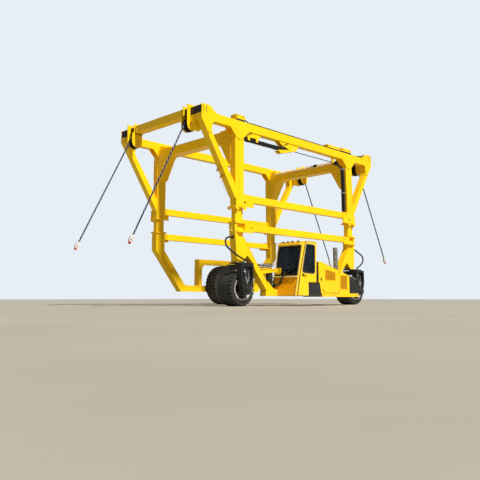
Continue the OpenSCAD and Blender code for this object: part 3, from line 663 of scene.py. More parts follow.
def tie_fittings():
    """Bolts of the tie beam pads, with dark discs that paint the shade in their holes, upper and lower, and the cleat
    on the left lower leg.
    """
    upper, lower, rims, holes, cleat = parts(5)
    upper_face, lower_face = -0.052, -0.044
    for at, out, _ in corners():
        # Painted shade: dark discs on the pads where the holes show only shade.
        rims.lathe(disc(0.034, -0.004, 0.003), at(HALF - 0.33, upper_face, UPPER_Z + 0.16), out, 28)
        holes.lathe(disc(0.024, -0.004, 0.003), at(HALF - 0.62, lower_face, LOWER_Z - 0.155), out, 24)
        for dx, dz in ((0.05, 0.09), (0.05, 0.26), (0.64, 0.09), (0.64, 0.34), (0.50, 0.34)):
            upper.bolt(at(HALF - dx, upper_face, UPPER_Z + dz), out, 0.012, 0.010)
        for dx, dz in product((0.66, 0.46), (0.075, 0.215)):
            lower.bolt(at(HALF - dx, lower_face, LOWER_Z - dz), out, 0.010, 0.008)
    show_all("lift_frame", upper_tie_bolts=(upper, YELLOW), tie_hole_rims=(rims, DARK))
    show_all("chassis", lower_tie_bolts=(lower, YELLOW), lower_tie_holes=(holes, DARK))
    for y, z in ((0.125, 2.248), (0.100, 2.130)):
        cleat.tube([near(-0.039, y, z), near(-0.039, 0.205, 2.215)], 0.017, 8)
    # The cleat is in the pale paint, a painted highlight.
    show_all("chassis", leg_cleat=(cleat, PALE))


def collar_lips():
    """Rounded ears under the moving collars, and the seal lips on top of the fixed ones."""
    ears, seals = parts(2)
    wall = 0.045
    x0, x1 = HALF - LEG_W - wall, HALF + wall
    front, back, gap = -0.040, 0.280, 0.003
    curve = [(0.125 * (1 - u), -0.085 * v) for u, v in arc(0, 0, 1, 0, 90, 6)] + [(0.125, 0.0)]
    for at, _, _ in corners():
        for x, way in ((x0, 1), (x1, -1)):
            ears.prism(curve, lambda u, v, w: at(x + way * u, front - gap - w, UPPER_Z + v), PLATE)
        for depth, way in ((front, 1), (back, -1)):
            ears.prism(curve, lambda u, v, w: at(x1 + gap + w, depth + way * u, UPPER_Z + v), PLATE)
        lip = ((x0, front - gap), (x1 + gap, front - gap), (x1 + gap, back))
        ears.tube([at(x, depth, UPPER_Z + 0.008) for x, depth in lip], 0.013, 8)
        seal = ((x0 + 0.055, 0.030), (x1 - 0.055, 0.030), (x1 - 0.055, 0.210), (x0 + 0.055, 0.210))
        seals.tube([at(x, depth, LOWER_Z + 0.004) for x, depth in seal], 0.009, 6, closed=True)
    show_all("lift_frame", collar_ears=(ears, YELLOW))
    show_all("chassis", collar_seals=(seals, RUBBER))


def knee_marks():
    """A row of plug welds near the top of each knee plate, and the weld at its foot."""
    studs = Part()
    plug = solid((0.006, 0.006), (0.009, 0.0), (0.009, -0.002))
    for at, _, end in corners():
        for k in range(9):
            studs.lathe(plug, at(HALF + PLATE, LEG_D + 0.06 + 0.035 * k, BEAM_Z - 0.38 + 0.006 * k), end, 8)
        studs.bead([at(HALF + 0.014, LEG_D + depth, BEAM_Z - 1.05) for depth in (-0.225, 0.06)], 0.005, 0.02, 5)
    show_all("lift_frame", knee_plate_studs=(studs, YELLOW))


def top_valves():
    """Black bases, lids, latches and cable glands of the valve boxes on the near top beam; the pale lids paint the
    highlight on the boxes' sunlit tops.
    """
    black, lids, latches = parts(3)
    boxes = ((0.08, 0.05, 0.45, 0.30, 0.21), (4.60, 0.02, 5.37, 0.20, 0.14), (5.44, 0.02, 6.03, 0.21, 0.175))
    for x0, y0, x1, y1, z1 in boxes:
        lids.block(top(x0 - 0.006, y0 - 0.006, z1 - 0.030), top(x1 + 0.006, y1 + 0.006, z1 + 0.006), 0.008)
        for x in (x0 + 0.07, x1 - 0.07):
            latches.block(top(x - 0.018, y0 - 0.016, z1 - 0.055), top(x + 0.018, y0 - 0.004, z1 - 0.015), 0.002)
    for x in (0.15, 0.24, 0.33, 0.39):
        black.lathe(solid((0.022, 0.0), (0.022, 0.030), (0.016, 0.045), (0.016, 0.068)), top(x, 0.055, 0.002), Z, 14)
    for x in (5.05 + 0.05 * k for k in range(4)):
        black.tube([top(x, 0.21, 0.10), top(x, 0.235, 0.06), top(x + 0.02, 0.235, -0.03)], 0.009, 8)
    for x0, x1, y0, z0, z1 in ((4.61, 5.36, 0.02, -0.004, 0.034), (5.45, 6.02, 0.02, 0.0, 0.056),
                               (0.09, 0.44, 0.05, 0.004, 0.070)):
        black.block(top(x0, y0 - 0.012, z0), top(x1, y0 + 0.02, z1), 0.004)
    for x in (5.50, 5.70, 5.92):
        black.block(top(x - 0.03, 0.035, 0.001), top(x + 0.03, 0.195, 0.05), 0.004)
    show_all("lift_frame", valve_box_lids=(lids, PALE), valve_box_glands=(black, RUBBER),
             valve_box_latches=(latches, BRIGHT))


def strip_clamps():
    """Hold-down clamps along the black strip on the near top beam, and its hoses at the ends."""
    clamps, hoses = parts(2)
    for x in (0.75 + 0.37 * k for k in range(11)):
        clamps.block(top(x - 0.014, 0.020, 0.001), top(x + 0.014, 0.090, 0.044), 0.004)
        clamps.bolt(top(x, 0.084, 0.012), Z, 0.007, 0.008)
    for y in (0.045, 0.065):
        hoses.tube([top(0.65, y, 0.02), top(0.56, y, 0.035), top(0.46, y + 0.02, 0.10)], 0.011, 8)
        hoses.tube([top(4.56, y, 0.02), top(4.61, y, 0.05)], 0.011, 8)
    show_all("lift_frame", strip_clamps=(clamps, BLACK), strip_hoses=(hoses, RUBBER))


def hoist_fittings():
    """Gland, bands, rod, ports, hoses and pull chain of the cylinder under the near top beam."""
    bands, bright, hoses, links = parts(4)

    def at(x, y=0.0, z=0.0):
        return near(x, LEG_D / 2 + y, BEAM_Z - 0.23 + z)

    gland_x = 2.40
    bands.lathe(solid((0.050, 0.005), (0.080, -0.008), (0.082, -0.060), (0.070, -0.062), (0.070, -0.090)),
                at(gland_x), X, 36)
    for x in (0.62, 1.32, 1.86, 2.28):
        bands.lathe(band(0.066, 0.076, 0.012), at(x), X, 36)
    bright.lathe([(0.0386, 0.0), (0.0386, 0.235)], at(gland_x), X, 28)
    for x in (0.50, 2.20):
        bright.lathe(solid((0.016, 0.0), (0.016, 0.035), (0.012, 0.035), (0.012, 0.050)),
                     at(x, -0.045, 0.050), (0, -0.6, 0.8), 6)
        hoses.tube([at(x, -0.072, 0.088), at(x + 0.02, -0.095, 0.12), at(x + 0.10, -0.10, 0.16),
                    at(x + 0.22, -0.10, 0.205)], 0.009, 8)
    pitch, sheave_top = 0.044, 0.075 - 0.034 - 0.0083
    for k in range(int((4.94 - 2.66) / pitch)):
        add_link(links, at(2.68 + pitch * k, 0, sheave_top), X, Y if k % 2 else Z, 0.018, 0.0115, 0.0055)
    for side in (-1, 1):
        bright.bolt(at(2.70, side * 0.084, 0.075), Y * side, 0.014, 0.012)
    show_all("lift_frame", hoist_cylinder_bands=(bands, BLACK), hoist_rod=(bright, BRIGHT),
             hoist_hoses=(hoses, RUBBER), pull_chain_links=(links, CHAIN))


def leg_pipes():
    """Pipes with clips on the inner face of the right leg, fed from the right portal."""
    pipes, clips, pale = parts(3)
    face_x = HALF - LEG_W
    runs = (((0.52, 5.215), (0.36, 5.13), (0.24, 4.96), (0.19, 4.70), (0.19, 3.32)),
            ((0.52, 5.165), (0.32, 5.06), (0.17, 4.88), (0.14, 4.66), (0.14, 3.26)),
            ((0.50, 5.115), (0.26, 4.99), (0.12, 4.80), (0.09, 4.60), (0.09, 3.30)))
    for run in runs:
        pipes.tube(smooth_path([Vector((face_x - 0.05, NEAR_Y + y, z)) for y, z in run], 5), 0.024, 10)
    for z in (3.98, 4.86):
        clips.block((face_x - 0.080, NEAR_Y + 0.055, z - 0.020), (face_x + 0.001, NEAR_Y + 0.228, z + 0.020), 0.005)

    def at(x, y, z):
        return Vector((face_x - 0.036 + x, NEAR_Y + y, BEAM_Z - 0.052 + z))

    length = FAR_Y - NEAR_Y
    # The portal pipes are in the pale pipe paint, partly painted sunlight.
    pale.tube([at(0, y, 0) for y in (0.55, length / 2, length - 0.55)], 0.034, 16)
    pale.tube([at(0.060, y, 0.044) for y in (0.55, length - 0.55)], 0.014, 10)
    for y in (0.62 + 0.42 * k for k in range(6)):
        pale.lathe(band(0.030, 0.042, 0.018), at(0, y, 0), Y, 20)
        clips.block(at(-0.020, y + 0.020, -0.052), at(0.037, y + 0.050, -0.030), 0.004)
        clips.bolt(at(-0.004, y + 0.035, -0.052), -Z, 0.010, 0.012)
    pipes.block(at(-0.040, 1.30, -0.020), at(0.060, 1.44, 0.085), 0.012)
    clips.tube([at(-0.010, 1.44, 0.045), at(-0.010, 1.60, 0.045)], 0.022, 10)
    pipes.block(at(-0.034, 0.34, -0.045), at(0.040, 0.58, 0.060), 0.015)
    # hoses over the right tip, with x from the leg's outer face
    over_tip = ((0.02, 0.10), (0.14, 0.045), (0.55, 0.018), (0.80, 0.050), (0.92, 0.135), (1.03, 0.190))
    for y in (0.11, 0.15):
        pipes.tube([top(2 * HALF + x, y, z) for x, z in over_tip], 0.014, 8)
    pipes.block(top(2 * HALF + 0.60, 0.07, 0.001), top(2 * HALF + 0.80, 0.19, 0.085), 0.015)
    show_all("lift_frame", leg_pipes=(pipes, RUBBER), leg_pipe_clips=(clips, BRIGHT), portal_pipes=(pale, PIPE))


def strut_lugs():
    """Two rope lugs on the underside of the left strut, with a thin tag line to the leg."""
    lugs, rope = parts(2)
    y = 0.12
    for x, z in ((-0.575, 3.86), (-0.44, 3.68)):
        lugs.block(near(x - 0.05, y - 0.012, z - 0.02), near(x + 0.04, y + 0.012, z + 0.05), 0.006)
        lugs.lathe(band(0.020, 0.036, 0.010), near(x - 0.045, y, z - 0.02), Y, 20, closed=True)
        turns = (2 * math.pi * k / 14 for k in range(14))
        lugs.tube([near(x - 0.045 + 0.030 * math.cos(a), y + 0.004 * math.sin(2 * a), z - 0.065 + 0.036 * math.sin(a))
                   for a in turns], 0.006, 6, closed=True)
    start, finish, steps = near(-0.485, y, 3.58), near(-0.045, y, UPPER_Z + 0.22), 16
    rope.tube([start.lerp(finish, k / steps) - X * (0.05 * math.sin(math.pi * k / steps)) for k in range(steps + 1)],
              0.004, 6)
    show_all("lift_frame", strut_rope_lugs=(lugs, BRASS), tag_line=(rope, RUBBER))


# Pieces of the cab and its door


def cab_front_trim():
    """Gaskets, pillar trims, ledge lip, wiper, horn and hoses on the cab front."""
    gasket, trim, black, rubber, corner, gaiter = parts(6)
    r = 0.03
    y0, y1, z0, z1 = SIDE_Y + 0.06 + r, CAB_IN_Y - 0.06 - r, 0.90 + r, 1.80 - r
    pane = rounded_outline(rect(y0, z0, y1, z1), r)
    gasket.tube([cab_place(y, z, 0.004) for y, z in pane], 0.013, 8, closed=True)
    # pale pillar edges, the lip over the windscreen and the ledge below it, in the pale trim that paints the highlight
    # along their sunlit edges
    trim.tube([cab_place(CAB_IN_Y - 0.012, z) for z in (0.50, 1.86)], 0.014, 8)
    trim.tube([cab_place(SIDE_Y + 0.014, z) for z in (0.32, 1.88)], 0.015, 8)
    trim.tube([cab_place(y, 1.838, 0.080) for y in (SIDE_Y + 0.03, CAB_IN_Y - 0.03)], 0.019, 8)
    ledge = [(-0.004, 0.838), (0.042, 0.838), (0.060, 0.850), (0.060, 0.876), (0.046, 0.890), (-0.004, 0.893)]
    trim.prism(ledge, lambda u, v, w: cab_place(SIDE_Y + 0.045 + w, v, u), CAB_IN_Y - SIDE_Y - 0.06)
    y0, y1 = NEAR_Y - 0.005, CAB_IN_Y - 0.045
    corner.prism(rounded_outline(rect(y0, 0.965, y1, 1.135), 0.012, 3), cab_place, 0.016)
    y0, y1 = SIDE_Y + 0.075, CAB_IN_Y - 0.075
    gaiter.prism(rect(y0, 0.905, y1, 0.960), cab_place, 0.008, 0.002)

    def rod(points, out, radius, sides):
        black.tube([cab_place(NEAR_Y + y, z, out) for y, z in points], radius, sides)

    # wiper: crank from the base, arm and blade
    rod([(-0.02, 0.59), (-0.07, 0.645), (-0.155, 0.845), (-0.255, 0.95), (-0.42, 1.06), (-0.57, 1.165)],
        0.075, [0.020, 0.024, 0.024, 0.020, 0.016, 0.014], 8)
    black.block(cab_place(NEAR_Y - 0.13, 0.665, 0.045), cab_place(NEAR_Y - 0.05, 0.725, 0.002), 0.006)
    rod([(-0.28, 0.96), (-0.60, 1.19)], 0.032, 0.010, 6)
    rod([(-0.34, 1.00), (-0.62, 1.45)], 0.020, 0.008, 6)
    # round horn at the foot, with its hoses
    black.lathe([(AXIS_R, 0.0), (0.050, 0.0), (0.062, 0.020), (0.062, 0.065), (0.045, 0.080), (AXIS_R, 0.070)],
                cab_place(NEAR_Y + 0.13, 0.61), -X, 28)
    for y in (NEAR_Y + 0.20 + 0.022 * k for k in range(3)):
        rubber.tube([cab_place(y, 0.48, 0.01), cab_place(y - 0.02, 0.56, 0.06), cab_place(y + 0.01, 0.66, 0.09),
                     cab_place(y + 0.03, 0.74, 0.03)], 0.011, 8)
    show_all("chassis", windscreen_gasket=(gasket, RUBBER), windscreen_corner=(corner, YELLOW),
             windscreen_sill=(gaiter, BLACK, "rubber"), cab_front_trims=(trim, CREAM), wiper_arm=(black, BLACK),
             horn_hoses=(rubber, RUBBER))


def cab_base_panel():
    """The flat panel under the windscreen, with fixings; its deeper orange is partly its own paint and partly painted
    shade on the face turned from the sun.
    """
    panel, bolts = parts(2)
    y0, y1 = SIDE_Y + 0.045, CAB_IN_Y - 0.04
    outline = [(y0, 0.325), (NEAR_Y - 0.02, 0.325), (NEAR_Y, 0.50), (y1, 0.50), (y1, 0.835), (y0, 0.835)]
    panel.prism(outline, cab_place, 0.004)
    for y, z in product((SIDE_Y + 0.07, NEAR_Y - 0.20, NEAR_Y + 0.17), (0.54, 0.81)):
        bolts.bolt(cab_place(y, z, 0.004), (-1, 0, CAB_RAKE), 0.008, 0.006)
    show_all("chassis", cab_base_panel=(panel, ORANGE), cab_base_bolts=(bolts, DARK))


def cab_roof():
    """Roof lamps on brackets, drip rails and the rounded roof edge; the rails are in the pale trim that paints the
    highlight along the roof edges.
    """
    lamps, lenses, rails = parts(3)
    forward = (-1, 0, -0.2)
    for y in (0.03, -0.15, -0.33, -0.56):
        seat = Vector((cab_front(1.90) + 0.015, NEAR_Y + y, 1.915))
        lamps.block(seat - Vector((0.055, 0.055, 0.012)), seat + Vector((0.040, 0.055, 0.022)), 0.008)
        lamps.lathe([(AXIS_R, -0.040), (0.030, -0.034), (0.043, 0.0), (0.043, 0.026), (0.036, 0.026), (0.030, 0.018)],
                    seat + Vector((-0.035, 0, 0.012)), forward, 20)
        lenses.lathe([(AXIS_R, 0.010), (0.020, 0.014), (0.037, 0.010), (0.037, 0.004), (AXIS_R, 0.004)],
                     seat + Vector((-0.050, 0, 0.010)), forward, 20)
    edge = [(-0.818, 1.925), (-0.79, 1.944), (-0.50, 1.948), (-0.23, 1.946), (-0.182, 1.915), (-0.214, 1.86)]
    for y in (SIDE_Y + 0.004, CAB_IN_Y - 0.004):
        rails.tube([(x, y, z) for x, z in edge], 0.014, 8)
    rails.tube([(-0.215, SIDE_Y + 0.01, 1.945), (-0.215, CAB_IN_Y - 0.01, 1.945)], 0.008, 8)
    show_all("chassis", roof_lamp_bodies=(lamps, BLACK), roof_lamp_lenses=(lenses, AMBER), roof_rails=(rails, CREAM))


def cab_door_trim():
    """Window rubber, door edge, handle and hinges of the side door; the pale door edge and the pale ring round the
    window paint the highlight on those edges.
    """
    rubber, edge, handle, hinge = parts(4)
    face = DOOR_Y
    pane = [(-0.865, 1.065), (-0.415, 1.045), (-0.390, 1.775), (-0.680, 1.785)]
    door = [(-1.155, 0.325), (-0.672, 0.325), (-0.672, 0.722), (-0.282, 0.722), (-0.230, 1.912), (-0.728, 1.912),
            (-0.998, 1.010)]
    for part, outline, lift, r, count in ((rubber, rounded_outline(pane, 0.060, 6), 0.004, 0.022, 10),
                                          (edge, rounded_outline(pane, 0.088, 6), 0.003, 0.009, 8),
                                          (edge, door, 0.004, 0.008, 8)):
        part.tube([(x, face + lift, z) for x, z in outline], r, count, closed=True)
    handle.block((-0.955, face - 0.012, 0.895), (-0.875, face + 0.004, 0.955), 0.006)
    handle.tube([(-0.945, face - 0.010, 0.925), (-0.940, face - 0.034, 0.925), (-0.780, face - 0.034, 0.905),
                 (-0.775, face - 0.004, 0.905)], 0.011, 8)
    for z in (0.80, 1.25, 1.80):
        x = -0.276 + 0.047 * (z - 0.73)
        hinge.tube([(x, face + 0.004, z - 0.030), (x, face + 0.004, z + 0.030)], 0.009, 10)
        hinge.block((x - 0.060, face - 0.002, z - 0.022), (x, face + 0.006, z + 0.022), 0.002)
    show_all("cab_side_door", door_window_rubber=(rubber, RUBBER), door_edges=(edge, CREAM),
             door_handle=(handle, BLACK), door_hinges=(hinge, YELLOW))


def cab_seams():
    """The black rubber line round the door opening."""
    seal = Part()
    line = [(-1.182, 0.305), (-0.650, 0.305), (-0.650, 0.702), (-0.262, 0.702), (-0.208, 1.932), (-0.741, 1.932),
            (-1.021, 1.010)]
    seal.tube(on_side(line, -0.005), 0.009, 6, closed=True)
    show_all("chassis", door_seal=(seal, RUBBER))


def cab_inside():
    """Seat, steering column, console and levers behind the glass."""
    seat, controls, knobs, plate = parts(4)
    y = SIDE_Y + 0.47
    for outline, r, half_width, bevel in (
            ([(-0.70, 0.90), (-0.36, 0.88), (-0.36, 0.96), (-0.70, 0.98)], 0.035, 0.25, 0.02),
            ([(-0.42, 0.98), (-0.35, 0.98), (-0.315, 1.50), (-0.365, 1.50)], 0.030, 0.24, 0.03),
            ([(-0.375, 1.56), (-0.325, 1.56), (-0.320, 1.70), (-0.365, 1.70)], 0.025, 0.13, 0.02)):
        seat.prism(rounded_outline(outline, r), lambda u, v, w: Vector((u, y - half_width + w, v)),
                   2 * half_width, bevel)
    seat.block((-0.64, y - 0.20, 0.742), (-0.38, y + 0.20, 0.86), 0.02)
    controls.tube([(-1.00, y, 0.46), (-0.90, y, 1.02)], 0.035, 10)
    wheel = [Vector((-0.88, y, 1.06)) + Y * u + Vector((0.62, 0, -0.42)) * v for u, v in around(0.17, 28)]
    controls.tube(wheel, 0.013, 8, closed=True)
    for k in (0, 9, 19):
        controls.tube([(-0.89, y, 1.03), wheel[k]], 0.009, 6)
    controls.block((-0.78, y + 0.30, 0.745), (-0.40, y + 0.42, 1.06), 0.02)
    for k in range(4):
        foot = Vector((-0.72 + 0.07 * k, y + 0.36, 1.06))
        controls.tube([foot, foot + Vector((-0.02, 0, 0.12))], 0.007, 6)
        knobs.lathe([(AXIS_R, 0.0), (0.014, 0.004), (0.019, 0.020), (0.013, 0.036), (AXIS_R, 0.040)],
                    foot + Vector((-0.02, 0, 0.115)), Z, 14)
    knobs.lathe([(AXIS_R, 0.0), (0.020, 0.004), (0.028, 0.026), (0.020, 0.046), (AXIS_R, 0.050)], wheel[21],
                (-0.5, 0, 1), 14)
    plate.block((cab_front(1.06) + 0.06, NEAR_Y - 0.02, 0.94), (cab_front(1.06) + 0.075, NEAR_Y + 0.16, 1.18), 0.005)
    for knob_y, z, r in ((-2.150, 1.232, 0.034), (-2.080, 1.115, 0.028), (-1.900, 1.095, 0.030)):
        ball = cab_place(knob_y, z, -0.075)
        knobs.lathe([(AXIS_R, -r), (r * 0.7, -r * 0.7), (r, 0.0), (r * 0.7, r * 0.7), (AXIS_R, r)], ball, Z, 16)
        controls.tube([ball, ball + Vector((0.04, 0, -0.20))], 0.010, 8)
    clip = Vector((0.006, 0.020, 0.028))
    for z in (1.665, 1.585, 1.495, 1.400, 1.318):
        place = cab_place(-1.985 - 0.19 * (1.674 - z), z, -0.050)
        knobs.block(place - clip, place + clip, 0.004)
    controls.tube([cab_place(-1.978, 1.74, -0.062), cab_place(-2.070, 1.24, -0.062)], 0.014, 8)
    show_all("chassis", cab_seat=(seat, RUBBER), cab_controls=(controls, BLACK), cab_knobs=(knobs, WHITE),
             cab_sun_plate=(plate, BRASS, "yellow_paint"))


# Pieces of the hood, end panel and exhaust


def louvre_panel(part, panel, count, face):
    """Slats across a recessed panel given by its corners (left-bottom, right-bottom, right-top, left-top)."""
    lb, rb, rt, lt = (Vector(c) for c in panel)
    depth = 0.010
    slat = ((0, -0.006), (depth, 0.001), (depth, 0.005), (0, 0.006))
    for k in range(1, count):
        left, right = lb.lerp(lt, k / count), rb.lerp(rt, k / count)
        part.add_rings([[(p.x, face - d, p.y + dz) for p in (left, right)] for d, dz in slat], False, True)
        n = len(part.verts)
        part.faces += [(n - 8, n - 6, n - 4, n - 2), (n - 7, n - 5, n - 3, n - 1)]


def hood_trim():
    """Louvres, rims, latches, plugs and seams of the engine hood, and a black block that paints the shade in the gap
    between cab and hood.
    """
    slats, rims, black, seams = parts(4)
    back = SIDE_Y + 0.0135
    # The slats are in the louvre paint, whose deeper orange is painted shade of the recess.
    louvre_panel(slats, ((0.226, 0.790), (0.766, 0.790), (0.772, 1.020), (0.245, 1.120)), 22, back)
    louvre_panel(slats, ((1.046, 0.520), (1.400, 0.510), (1.414, 0.935), (1.060, 0.950)), 32, back)
    for panel in ([(0.24, 0.80), (0.75, 0.80), (0.755, 1.015), (0.26, 1.108)],
                  [(1.06, 0.53), (1.385, 0.52), (1.40, 0.93), (1.075, 0.94)]):
        rims.tube(on_side(rounded_outline(panel, 0.022, 4), -0.001), 0.006, 6, closed=True)
    black.prism(rounded_outline([(0.016, 0.780), (0.016, 0.845)], 0.024, 6),
                lambda u, v, w: Vector((u, SIDE_Y - w, v)), 0.012, 0.003)
    for x, z in ((0.13, 1.07), (0.25, 0.73), (0.94, 1.04), (0.93, 0.46)):
        black.lathe(solid((0.013, 0.006), (0.017, 0.0), (0.017, -0.002)), (x, SIDE_Y, z), -Y, 16)
    for line, r in (([(0.055, 0.500), (0.095, 0.495), (0.145, 0.455), (0.200, 0.400), (0.245, 0.388), (0.60, 0.388),
                      (0.955, 0.390)], 0.009), ([(0.985, 0.385), (0.985, 1.070)], 0.004)):
        seams.tube(on_side(line), r, 6)
    # Painted shade: a black block in the gap between cab and hood, where the recess is shaded.
    seams.block((-0.188, SIDE_Y + 0.030, 0.735), (-0.108, SIDE_Y + 0.060, 1.330), 0.004)
    for r, count, *line in (
            (0.010, 8, (-0.098, 1.348), (0.035, 1.348), (0.120, 1.324), (0.910, 1.118), (1.555, 0.948)),
            (0.006, 6, (-0.050, 0.712), (0.018, 0.384)), (0.008, 6, (-0.098, 0.72), (-0.098, 1.345))):
        rims.tube(on_side(line, 0.003), r, count)
    show_all("chassis", hood_louvres=(slats, LOUVRE), hood_rims=(rims, YELLOW), hood_latches=(black, BLACK),
             hood_seams=(seams, BLACK))


def end_panel_trim():
    """Silver trim along the top edge, which paints the highlight there, grille bars and bolts of the dark end panel,
    and bolts of the bumper.
    """
    silver, bars, bolts = parts(3)
    # Painted highlight: a bright steel strip along the top edge of the panel.
    line = ((1.56, 0.012, 0.958), (1.94, 0.012, 0.862), (1.975, 0.014, 0.835))
    silver.tube([(x, SIDE_Y + y, z) for x, y, z in line], 0.012, 8)
    for z in (0.45 + 0.045 * k for k in range(9)):
        bars.block((1.62, SIDE_Y + 0.006, z), (2.02 - 0.36 * (z - 0.44), SIDE_Y + 0.016, z + 0.012), 0.003)
    for x, z in ((1.585, 0.42), (1.585, 0.90), (2.05, 0.42)):
        bolts.bolt((x, SIDE_Y + 0.015, z), -Y, 0.009, 0.007)
    for x in (0.12, 0.70, 1.30, 1.95):
        bolts.bolt((x, SIDE_Y - 0.020, 0.325), -Y, 0.011, 0.009)
    show_all("chassis", end_panel_trim=(silver, BRIGHT), end_panel_grille=(bars, DARK, "dark_paint"),
             hood_bolts=(bolts, DARK))


def exhaust():
    """The perforated exhaust shield with its bands and the pipe inside; its perforations are black spots that paint the
    shade in the holes.
    """
    shield, holes = parts(2)
    centre, r, z0, z1 = box_axis("exhaust_stack")
    shield.lathe([(0.052, z0), (r, z0), (r, z1), (r - 0.006, z1), (r - 0.006, z1 - 0.12), (0.052, z1 - 0.12),
                  (0.052, z0)], centre, Z, 40)
    shield.lathe([(0.052, z1 - 0.10), (0.052, z1 - 0.012), (0.046, z1 - 0.012), (0.046, z1 - 0.10)], centre, Z,
                 closed=True)
    for z in (z0 + 0.03, z1 - 0.03):
        shield.lathe(band(r, r + 0.003, 0.012, z, 0.002), centre, Z, 40)
    # Painted shade: black octagons on the shield stand for the dark holes of the perforation.
    pitch, count, hole_r = 0.024, 22, 0.0062
    for row in range(int((z1 - z0 - 0.14) / pitch)):
        for out in (Vector((u, v, 0)) for u, v in around(1.0, count, 180 / count * (row % 2))):
            side = Vector((-out.y, out.x, 0))
            seat = centre + out * (r + 0.0008) + Z * (z0 + 0.075 + pitch * row)
            holes.add([seat + side * u + Z * v for u, v in around(hole_r, 8)], [range(8)])
    stack, _ = show_all("chassis", perforated_stack=(shield, STACK), stack_holes=(holes, BLACK))
    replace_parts(stack, "exhaust_stack")


# Pieces of the lower frame


def foot_fittings():
    """Bolts of the steering plates, port fittings of the hoses and weld beads on the feet."""
    bolts, ports, welds = parts(3)
    # open where the hose goes in
    port = [(AXIS_R, 0.0), (0.048, 0.0), (0.048, 0.014), (0.032, 0.020), (0.032, 0.045), (0.024, 0.060),
            (0.0165, 0.062)]
    for sign, depth, z in ((-1, 0.110, 1.960), (1, 0.120, 1.985)):
        for k in range(6):
            bolts.bolt((sign * (HALF - 0.045 - 0.135 * k), NEAR_Y - 0.020, FOOT_Z - 0.018), -Y, 0.010, 0.010)
        ports.lathe(port, (sign * (HALF + PLATE), NEAR_Y + depth, z), X * sign, 6)
    near_line = ((HALF - LEG_W - 0.003, -0.003, 1.96), (HALF - 0.955, -0.003, 1.155))
    far_line = ((HALF, 0, 1.80), (HALF - 0.9, 0, 0.80))
    for at, out, _ in corners():
        welds.bead([at(*p) for p in (near_line if out.y < 0 else far_line)], 0.004, 0.03, 9)
    show_all("chassis", foot_bolts=(bolts, DARK), hose_ports=(ports, BLACK), foot_welds=(welds, YELLOW))


def foot_gusset():
    """The curved plate that joins the foot of the strut to the cab base."""
    plate = Part()
    knots = ((-1.205, 0.474), (-1.351, 0.498), (-1.455, 0.556), (-1.554, 0.644), (-1.640, 0.740))
    outline = [(-1.640, 0.300), (-1.205, 0.300)] + [tuple(c) for c in smooth_path([Vector(k) for k in knots], 4)]
    plate.prism(outline, lambda u, v, w: Vector((u, NEAR_Y + 0.010 - w, v)), 0.014, 0.002)
    show_all("chassis", foot_gusset=(plate, YELLOW))


def shelf_fittings():
    """Valve block with couplings, levers and pipes on the shelf, and the tank's straps and cap."""
    block, bright, hoses, straps, skirt = parts(5)

    def at(x, y, z):
        return near(1.02 + x, y, 1.112 + z)

    block.block(at(0, 0.06, 0), at(0.60, 0.19, 0.075), 0.010)
    for x in (0.05 + 0.071 * k for k in range(8)):
        block.block(at(x - 0.024, 0.07, 0.07), at(x + 0.024, 0.18, 0.118), 0.008)
        bright.lathe(union(0.026, 0.024, 0.018, 0.050), at(x, 0.060, 0.040),
                     (0, -1, 0.1), 6)
        bright.lathe([(AXIS_R, 0.0), (0.022, 0.0), (0.022, 0.022), (AXIS_R, 0.028)], at(x, 0.105, 0.116), Z, 12)
    for k in range(6):
        x = 0.08 + 0.09 * k
        hoses.tube([at(x, 0.02, 0.045), at(x + 0.02, -0.005, 0.065), at(x + 0.10, 0, 0.135),
                    at(x + 0.20, 0.10, 0.150 + 0.008 * (k % 3)), at(x + 0.26, 0.20, 0.09)], 0.010, 8)
    # folded skirt under the front edge of the shelf: plan and drop
    edge = ((1.000, 0.190, 0.115), (1.030, 0.110, 0.125), (1.080, 0.050, 0.130), (1.180, 0.020, 0.125),
            (1.400, 0.012, 0.105), (1.620, 0.000, 0.080), (1.800, -0.018, 0.050))
    skirt.add_rings([[near(x, y + w, 1.082 - drop * lift) for w, lift in ((0, 0), (0, 1), (0.010, 1), (0.010, 0))]
                     for x, y, drop in edge], True, False)
    n = len(skirt.verts)
    skirt.faces += [tuple(range(4)), tuple(range(n - 4, n))]
    # pale pipe loop at the cab end, and the pipe along the block
    bright.tube([at(0.58, 0.05, 0.02), at(0.60, 0.04, 0.12), at(0.66, 0.03, 0.185), at(0.73, 0.03, 0.175),
                 at(0.76, 0.03, 0.11), at(0.76, 0.04, 0.0)], 0.011, 10)
    bright.tube([at(0.04, 0.015, 0.09), at(0.30, 0.01, 0.10), at(0.56, 0.02, 0.085)], 0.009, 8)
    centre, r, z0, z1 = box_axis("hydraulic_tank")
    for z in (z0 + 0.07, z1 - 0.07):
        straps.lathe(band(r, r + 0.004, 0.018, z, 0.002), centre, Z, 40)
    straps.lathe(solid((0.07, z0 - 0.03), (0.085, z0)), centre, Z)
    show_all("chassis", shelf_skirt=(skirt, YELLOW), valve_block=(block, DARK, "dark_paint"),
             valve_couplings=(bright, WHITE), valve_hoses=(hoses, RUBBER), tank_straps=(straps, BLACK))


def far_side_fittings():
    """Bolts of the large wheel's axle flange and the bay plate."""
    bolts, hub = parts(2)
    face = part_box("far_axle")[1].y
    for u, v in around(0.125, 12):
        bolts.bolt((u, face, FAR_TYRE_R + v), Y, 0.010, 0.008)
    hub.lathe(solid((0.050, 0.010), (0.062, 0.0), (0.062, -0.004)), (0, face, FAR_TYRE_R), Y)
    for sign, k, z in product((-1, 1), range(5), (0.50, 0.61)):
        bolts.bolt((sign * (0.45 + 0.14 * k), FAR_Y + 0.045, z), Y, 0.010, 0.008)
    show_all("chassis", far_axle_bolts=(bolts, DARK), far_axle_cap=(hub, DARK, "dark_paint"))


# Pieces of the forks and wheels

